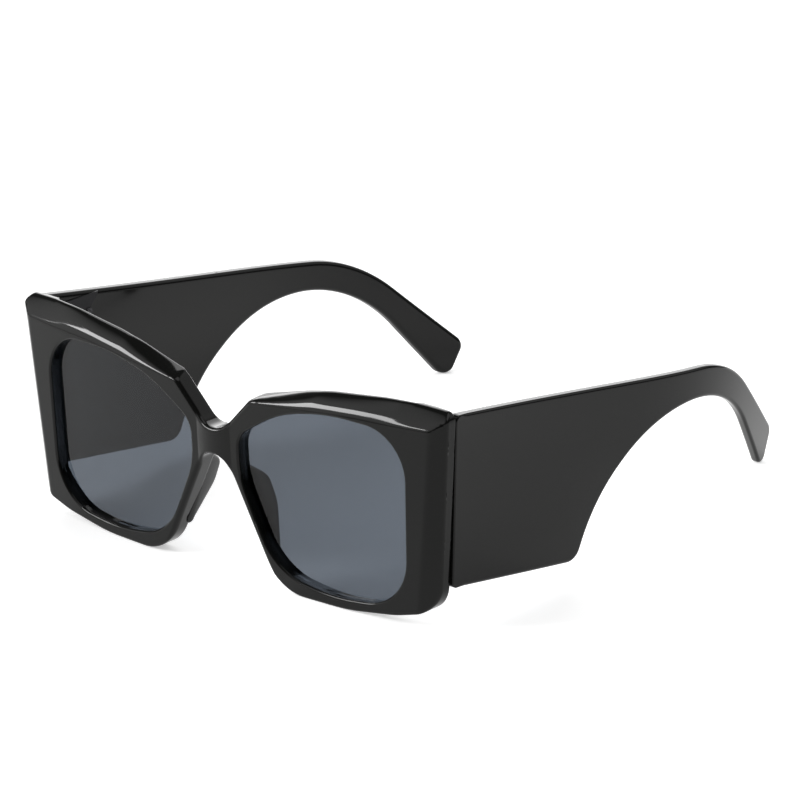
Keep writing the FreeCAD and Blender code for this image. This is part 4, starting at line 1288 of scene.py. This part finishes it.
    def _screw_tree(self) -> bpy.types.NodeTree:
        """Geometry nodes that set a slotted screw on every point, along its own axis."""
        tree = bpy.data.node_groups.new("leaf_screw_rows", "GeometryNodeTree")
        face = tree.interface
        face.new_socket("Geometry", in_out="INPUT", socket_type="NodeSocketGeometry")
        for label in self._sizes():
            face.new_socket(label, in_out="INPUT", socket_type="NodeSocketFloat")
        face.new_socket("Finish", in_out="INPUT", socket_type="NodeSocketMaterial")
        face.new_socket("Geometry", in_out="OUTPUT", socket_type="NodeSocketGeometry")
        nodes = NodeTree(tree)
        start = nodes.add("NodeGroupInput").outputs
        whole = self._one_screw(nodes, {label: start[label] for label in self._sizes()})
        feeds = {"Name": "axis"}
        axis = nodes.add("GeometryNodeInputNamedAttribute", data_type="FLOAT_VECTOR", feeds=feeds)
        feeds = {"Vector": axis.outputs["Attribute"]}
        aim = nodes.add("FunctionNodeAlignRotationToVector", feeds, axis="Z")
        feeds = {"Seed": self.turn_seed, 3: math.tau}
        turn = nodes.add("FunctionNodeRandomValue", feeds, data_type="FLOAT")
        feeds = {"Axis": (0, 0, 1), "Angle": turn.outputs[1]}
        spin = nodes.add("FunctionNodeAxisAngleToRotation", feeds)
        feeds = {0: aim.outputs[0], 1: spin.outputs[0]}
        pose = nodes.add("FunctionNodeRotateRotation", feeds, rotation_space="LOCAL")
        feeds = {"Points": start["Geometry"], "Instance": whole, "Rotation": pose.outputs[0]}
        spread = nodes.add("GeometryNodeInstanceOnPoints", feeds)
        real = nodes.add("GeometryNodeRealizeInstances", {0: spread.outputs[0]})
        feeds = {"Geometry": real.outputs[0], "Material": start["Finish"]}
        paint = nodes.add("GeometryNodeSetMaterial", feeds)
        nodes.add("NodeGroupOutput", {0: paint.outputs[0]})
        return tree

    def _screws(
        self,
        name: str,
        tree: bpy.types.NodeTree,
        spots: list[tuple[Spot, Spot]],
        finish: bpy.types.Material,
    ) -> bpy.types.Mesh:
        """Screws at given seats.

        Args:
            name: Name of the mesh.
            tree: The tree from _screw_tree.
            spots: Seats in millimetres with the direction that each head faces.
            finish: Screw material.

        Returns:
            One plain mesh of all the screws.
        """
        points = bpy.data.meshes.new(name)
        places = [(x * MM, (y - ROW_SHIFT) * MM, z * MM) for (x, y, z), _ in spots]
        points.from_pydata(places, [], [])
        axis = points.attributes.new("axis", "FLOAT_VECTOR", "POINT")
        axis.data.foreach_set("vector", [float(c) for _, way in spots for c in way])
        maker = bpy.data.objects.new(name, points)
        bpy.context.scene.collection.objects.link(maker)
        rows = maker.modifiers.new("screw_rows", "NODES")
        rows.node_group = tree
        values = {**self._sizes(), "Finish": finish}
        for item in tree.interface.items_tree:
            if item.in_out == "INPUT" and item.name in values:
                rows[item.identifier] = values[item.name]
        ready = maker.evaluated_get(bpy.context.evaluated_depsgraph_get())
        mesh = bpy.data.meshes.new_from_object(ready)
        mesh.name = name
        bpy.data.objects.remove(maker)
        return mesh


@dataclass
class Studio:
    """Pale floor with a painted pool of light, soft lights and the camera."""

    floor_edges: tuple[float, float, float, float] = (-1.6, 1.9, -0.75, 1.9)
    azimuth: float = 44.06
    elevation: float = 20.11
    roll: float = 2.27
    distance: float = 1361.0
    pivot: Spot = (0.0, -3.631, 25.0)
    focal_px: float = 5358.4
    centre_px: Span = (407.2, 401.0)
    frame_px: float = 800.0
    sensor: float = 36.0
    # Painted light on the table: its emission is strongest at this spot and fades over this reach to
    # a weaker glow everywhere.
    painted_pool_spot: Spot = (0.035, 0.005, 0.0)
    painted_pool_reach: float = 0.18
    painted_pool_glow: Span = (0.75, 0.22)
    dim: float = 0.12
    near_clip: float = 0.05
    boxes: tuple[tuple[str, Spot, Spot, Span, float], ...] = (
        ("key_box", (-0.95, 0.95, 0.95), (0.0, 0.0, 0.02), (1.1, 1.1), 13.0),
        ("top_box", (0.0, 0.0, 1.6), (0.0, 0.0, 0.0), (1.0, 1.0), 5.0),
        ("left_box", (-1.0, -0.95, 0.78), (0.0, -0.06, 0.05), (0.6, 0.3), 13.0),
    )
    glows: tuple[tuple[Spot, float, float, float], ...] = (
        ((-0.65, 0.7, 0.1), 15.0, 36.0, 2.2),
        ((-0.653, -0.6, 0.44), 12.0, 36.0, 1.7),
        ((0.32, 0.68, 0.62), 10.0, 35.0, 0.9),
    )

    def build(self) -> None:
        """Set up the floor, the light and the camera."""
        self._floor()
        self._world()
        self._lights()
        self._camera()
        view = bpy.context.scene.view_settings
        view.view_transform = "Standard"

    def _floor(self) -> None:
        """A white table top that glows: a painted pool of light, brightest around the glasses and
        fading to a weaker glow, fills their shadows.
        """
        left, right, near, far = self.floor_edges
        mesh = bpy.data.meshes.new("table_top")
        corners = [(left, near, 0), (right, near, 0), (right, far, 0), (left, far, 0)]
        mesh.from_pydata(corners, [], [(0, 1, 2, 3)])
        floor = bpy.data.objects.new("table_top", mesh)
        bpy.context.scene.collection.objects.link(floor)
        material, nodes, shader = new_material("white_table")
        shader.inputs["Base Color"].default_value = (0.93, 0.93, 0.93, 1)
        shader.inputs["Roughness"].default_value = 0.9
        shader.inputs["Specular IOR Level"].default_value = 0.0
        # Painted light: the table glows, most around the glasses, so the shade under and beside them
        # is lightened.
        shader.inputs["Emission Color"].default_value = (1, 1, 1, 1)
        place = nodes.add("ShaderNodeTexCoord").outputs["Object"]
        feeds = {0: place, 1: self.painted_pool_spot}
        away = nodes.add("ShaderNodeVectorMath", feeds, operation="DISTANCE").outputs["Value"]
        centre, edge = self.painted_pool_glow
        feeds = {"Value": away, "From Max": self.painted_pool_reach, "To Min": centre, "To Max": edge}
        fade = nodes.add("ShaderNodeMapRange", feeds, interpolation_type="SMOOTHSTEP")
        nodes.feed(shader.inputs["Emission Strength"], fade.outputs["Result"])
        mesh.materials.append(material)

    def _world(self) -> None:
        """Dim surroundings with soft pale areas behind and low on the left."""
        world = bpy.data.worlds.new("studio")
        bpy.context.scene.world = world
        world.use_nodes = True
        nodes = NodeTree(world.node_tree)
        way = nodes.add("ShaderNodeTexCoord").outputs["Generated"]
        light = None
        for towards, near, far, strength in self.glows:
            feeds = {0: way, 1: Vector(towards).normalized()}
            dot = nodes.add("ShaderNodeVectorMath", feeds, operation="DOT_PRODUCT")
            feeds = {
                "Value": dot.outputs["Value"],
                "From Min": math.cos(math.radians(far)),
                "From Max": math.cos(math.radians(near)),
                "To Max": strength,
            }
            fade = nodes.add("ShaderNodeMapRange", feeds, interpolation_type="SMOOTHSTEP")
            light = nodes.math("ADD", light if light else self.dim, fade.outputs["Result"])
        back = world.node_tree.nodes["Background"]
        back.inputs["Color"].default_value = (1, 1, 1, 1)
        nodes.feed(back.inputs["Strength"], light)

    def _lights(self) -> None:
        """A key behind on the left, a wide fill overhead and a narrow box in front on the left."""
        for box in self.boxes:
            self._soft_box(*box)

    @staticmethod
    def _soft_box(
        name: str,
        place: Spot,
        aim: Spot,
        size: Span,
        power: float,
    ) -> None:
        """A rectangular soft box aimed at a point.

        Args:
            name: Name of the light.
            place: Where it hangs, in metres.
            aim: What it faces.
            size: Width and height.
            power: Output in watts.
        """
        light = bpy.data.lights.new(name, "AREA")
        light.shape = "RECTANGLE"
        light.size, light.size_y = size
        light.energy = power
        lamp = bpy.data.objects.new(name, light)
        lamp.location = place
        lamp.rotation_euler = (Vector(aim) - Vector(place)).to_track_quat("-Z", "Y").to_euler()
        bpy.context.scene.collection.objects.link(lamp)

    def _camera(self) -> None:
        """A long lens at the photograph's angle."""
        az, el, roll = (math.radians(a) for a in (self.azimuth, self.elevation, self.roll))
        back = Vector((math.sin(az) * math.cos(el), -math.cos(az) * math.cos(el), math.sin(el)))
        level = (-back).cross(Vector((0, 0, 1))).normalized()
        down = (-back).cross(level)
        right = math.cos(roll) * level + math.sin(roll) * down
        low = -math.sin(roll) * level + math.cos(roll) * down
        turn = Matrix((right, -low, back)).transposed().to_4x4()
        place = Vector(self.pivot) * MM + back * self.distance * MM
        lens = bpy.data.cameras.new("camera")
        lens.sensor_width = self.sensor
        lens.lens = self.focal_px / self.frame_px * self.sensor
        lens.shift_x = (self.frame_px / 2 - self.centre_px[0]) / self.frame_px
        lens.shift_y = (self.centre_px[1] - self.frame_px / 2) / self.frame_px
        lens.clip_start = self.near_clip
        camera = bpy.data.objects.new("camera", lens)
        camera.matrix_world = Matrix.Translation(place) @ turn
        bpy.context.scene.collection.objects.link(camera)
        bpy.context.scene.camera = camera


def main() -> None:
    """Build the sunglasses and their setting."""
    logging.basicConfig(level=logging.INFO, format="%(name)s %(message)s")
    finishes = Finishes.make()
    front = FrontMoulding()
    front.build(finishes)
    LensPair().build(finishes, front)
    NosePads().build(finishes)
    Temples().build(finishes)
    HingeHardware().build(finishes)
    Studio().build()


if __name__ == "__main__":
    main()
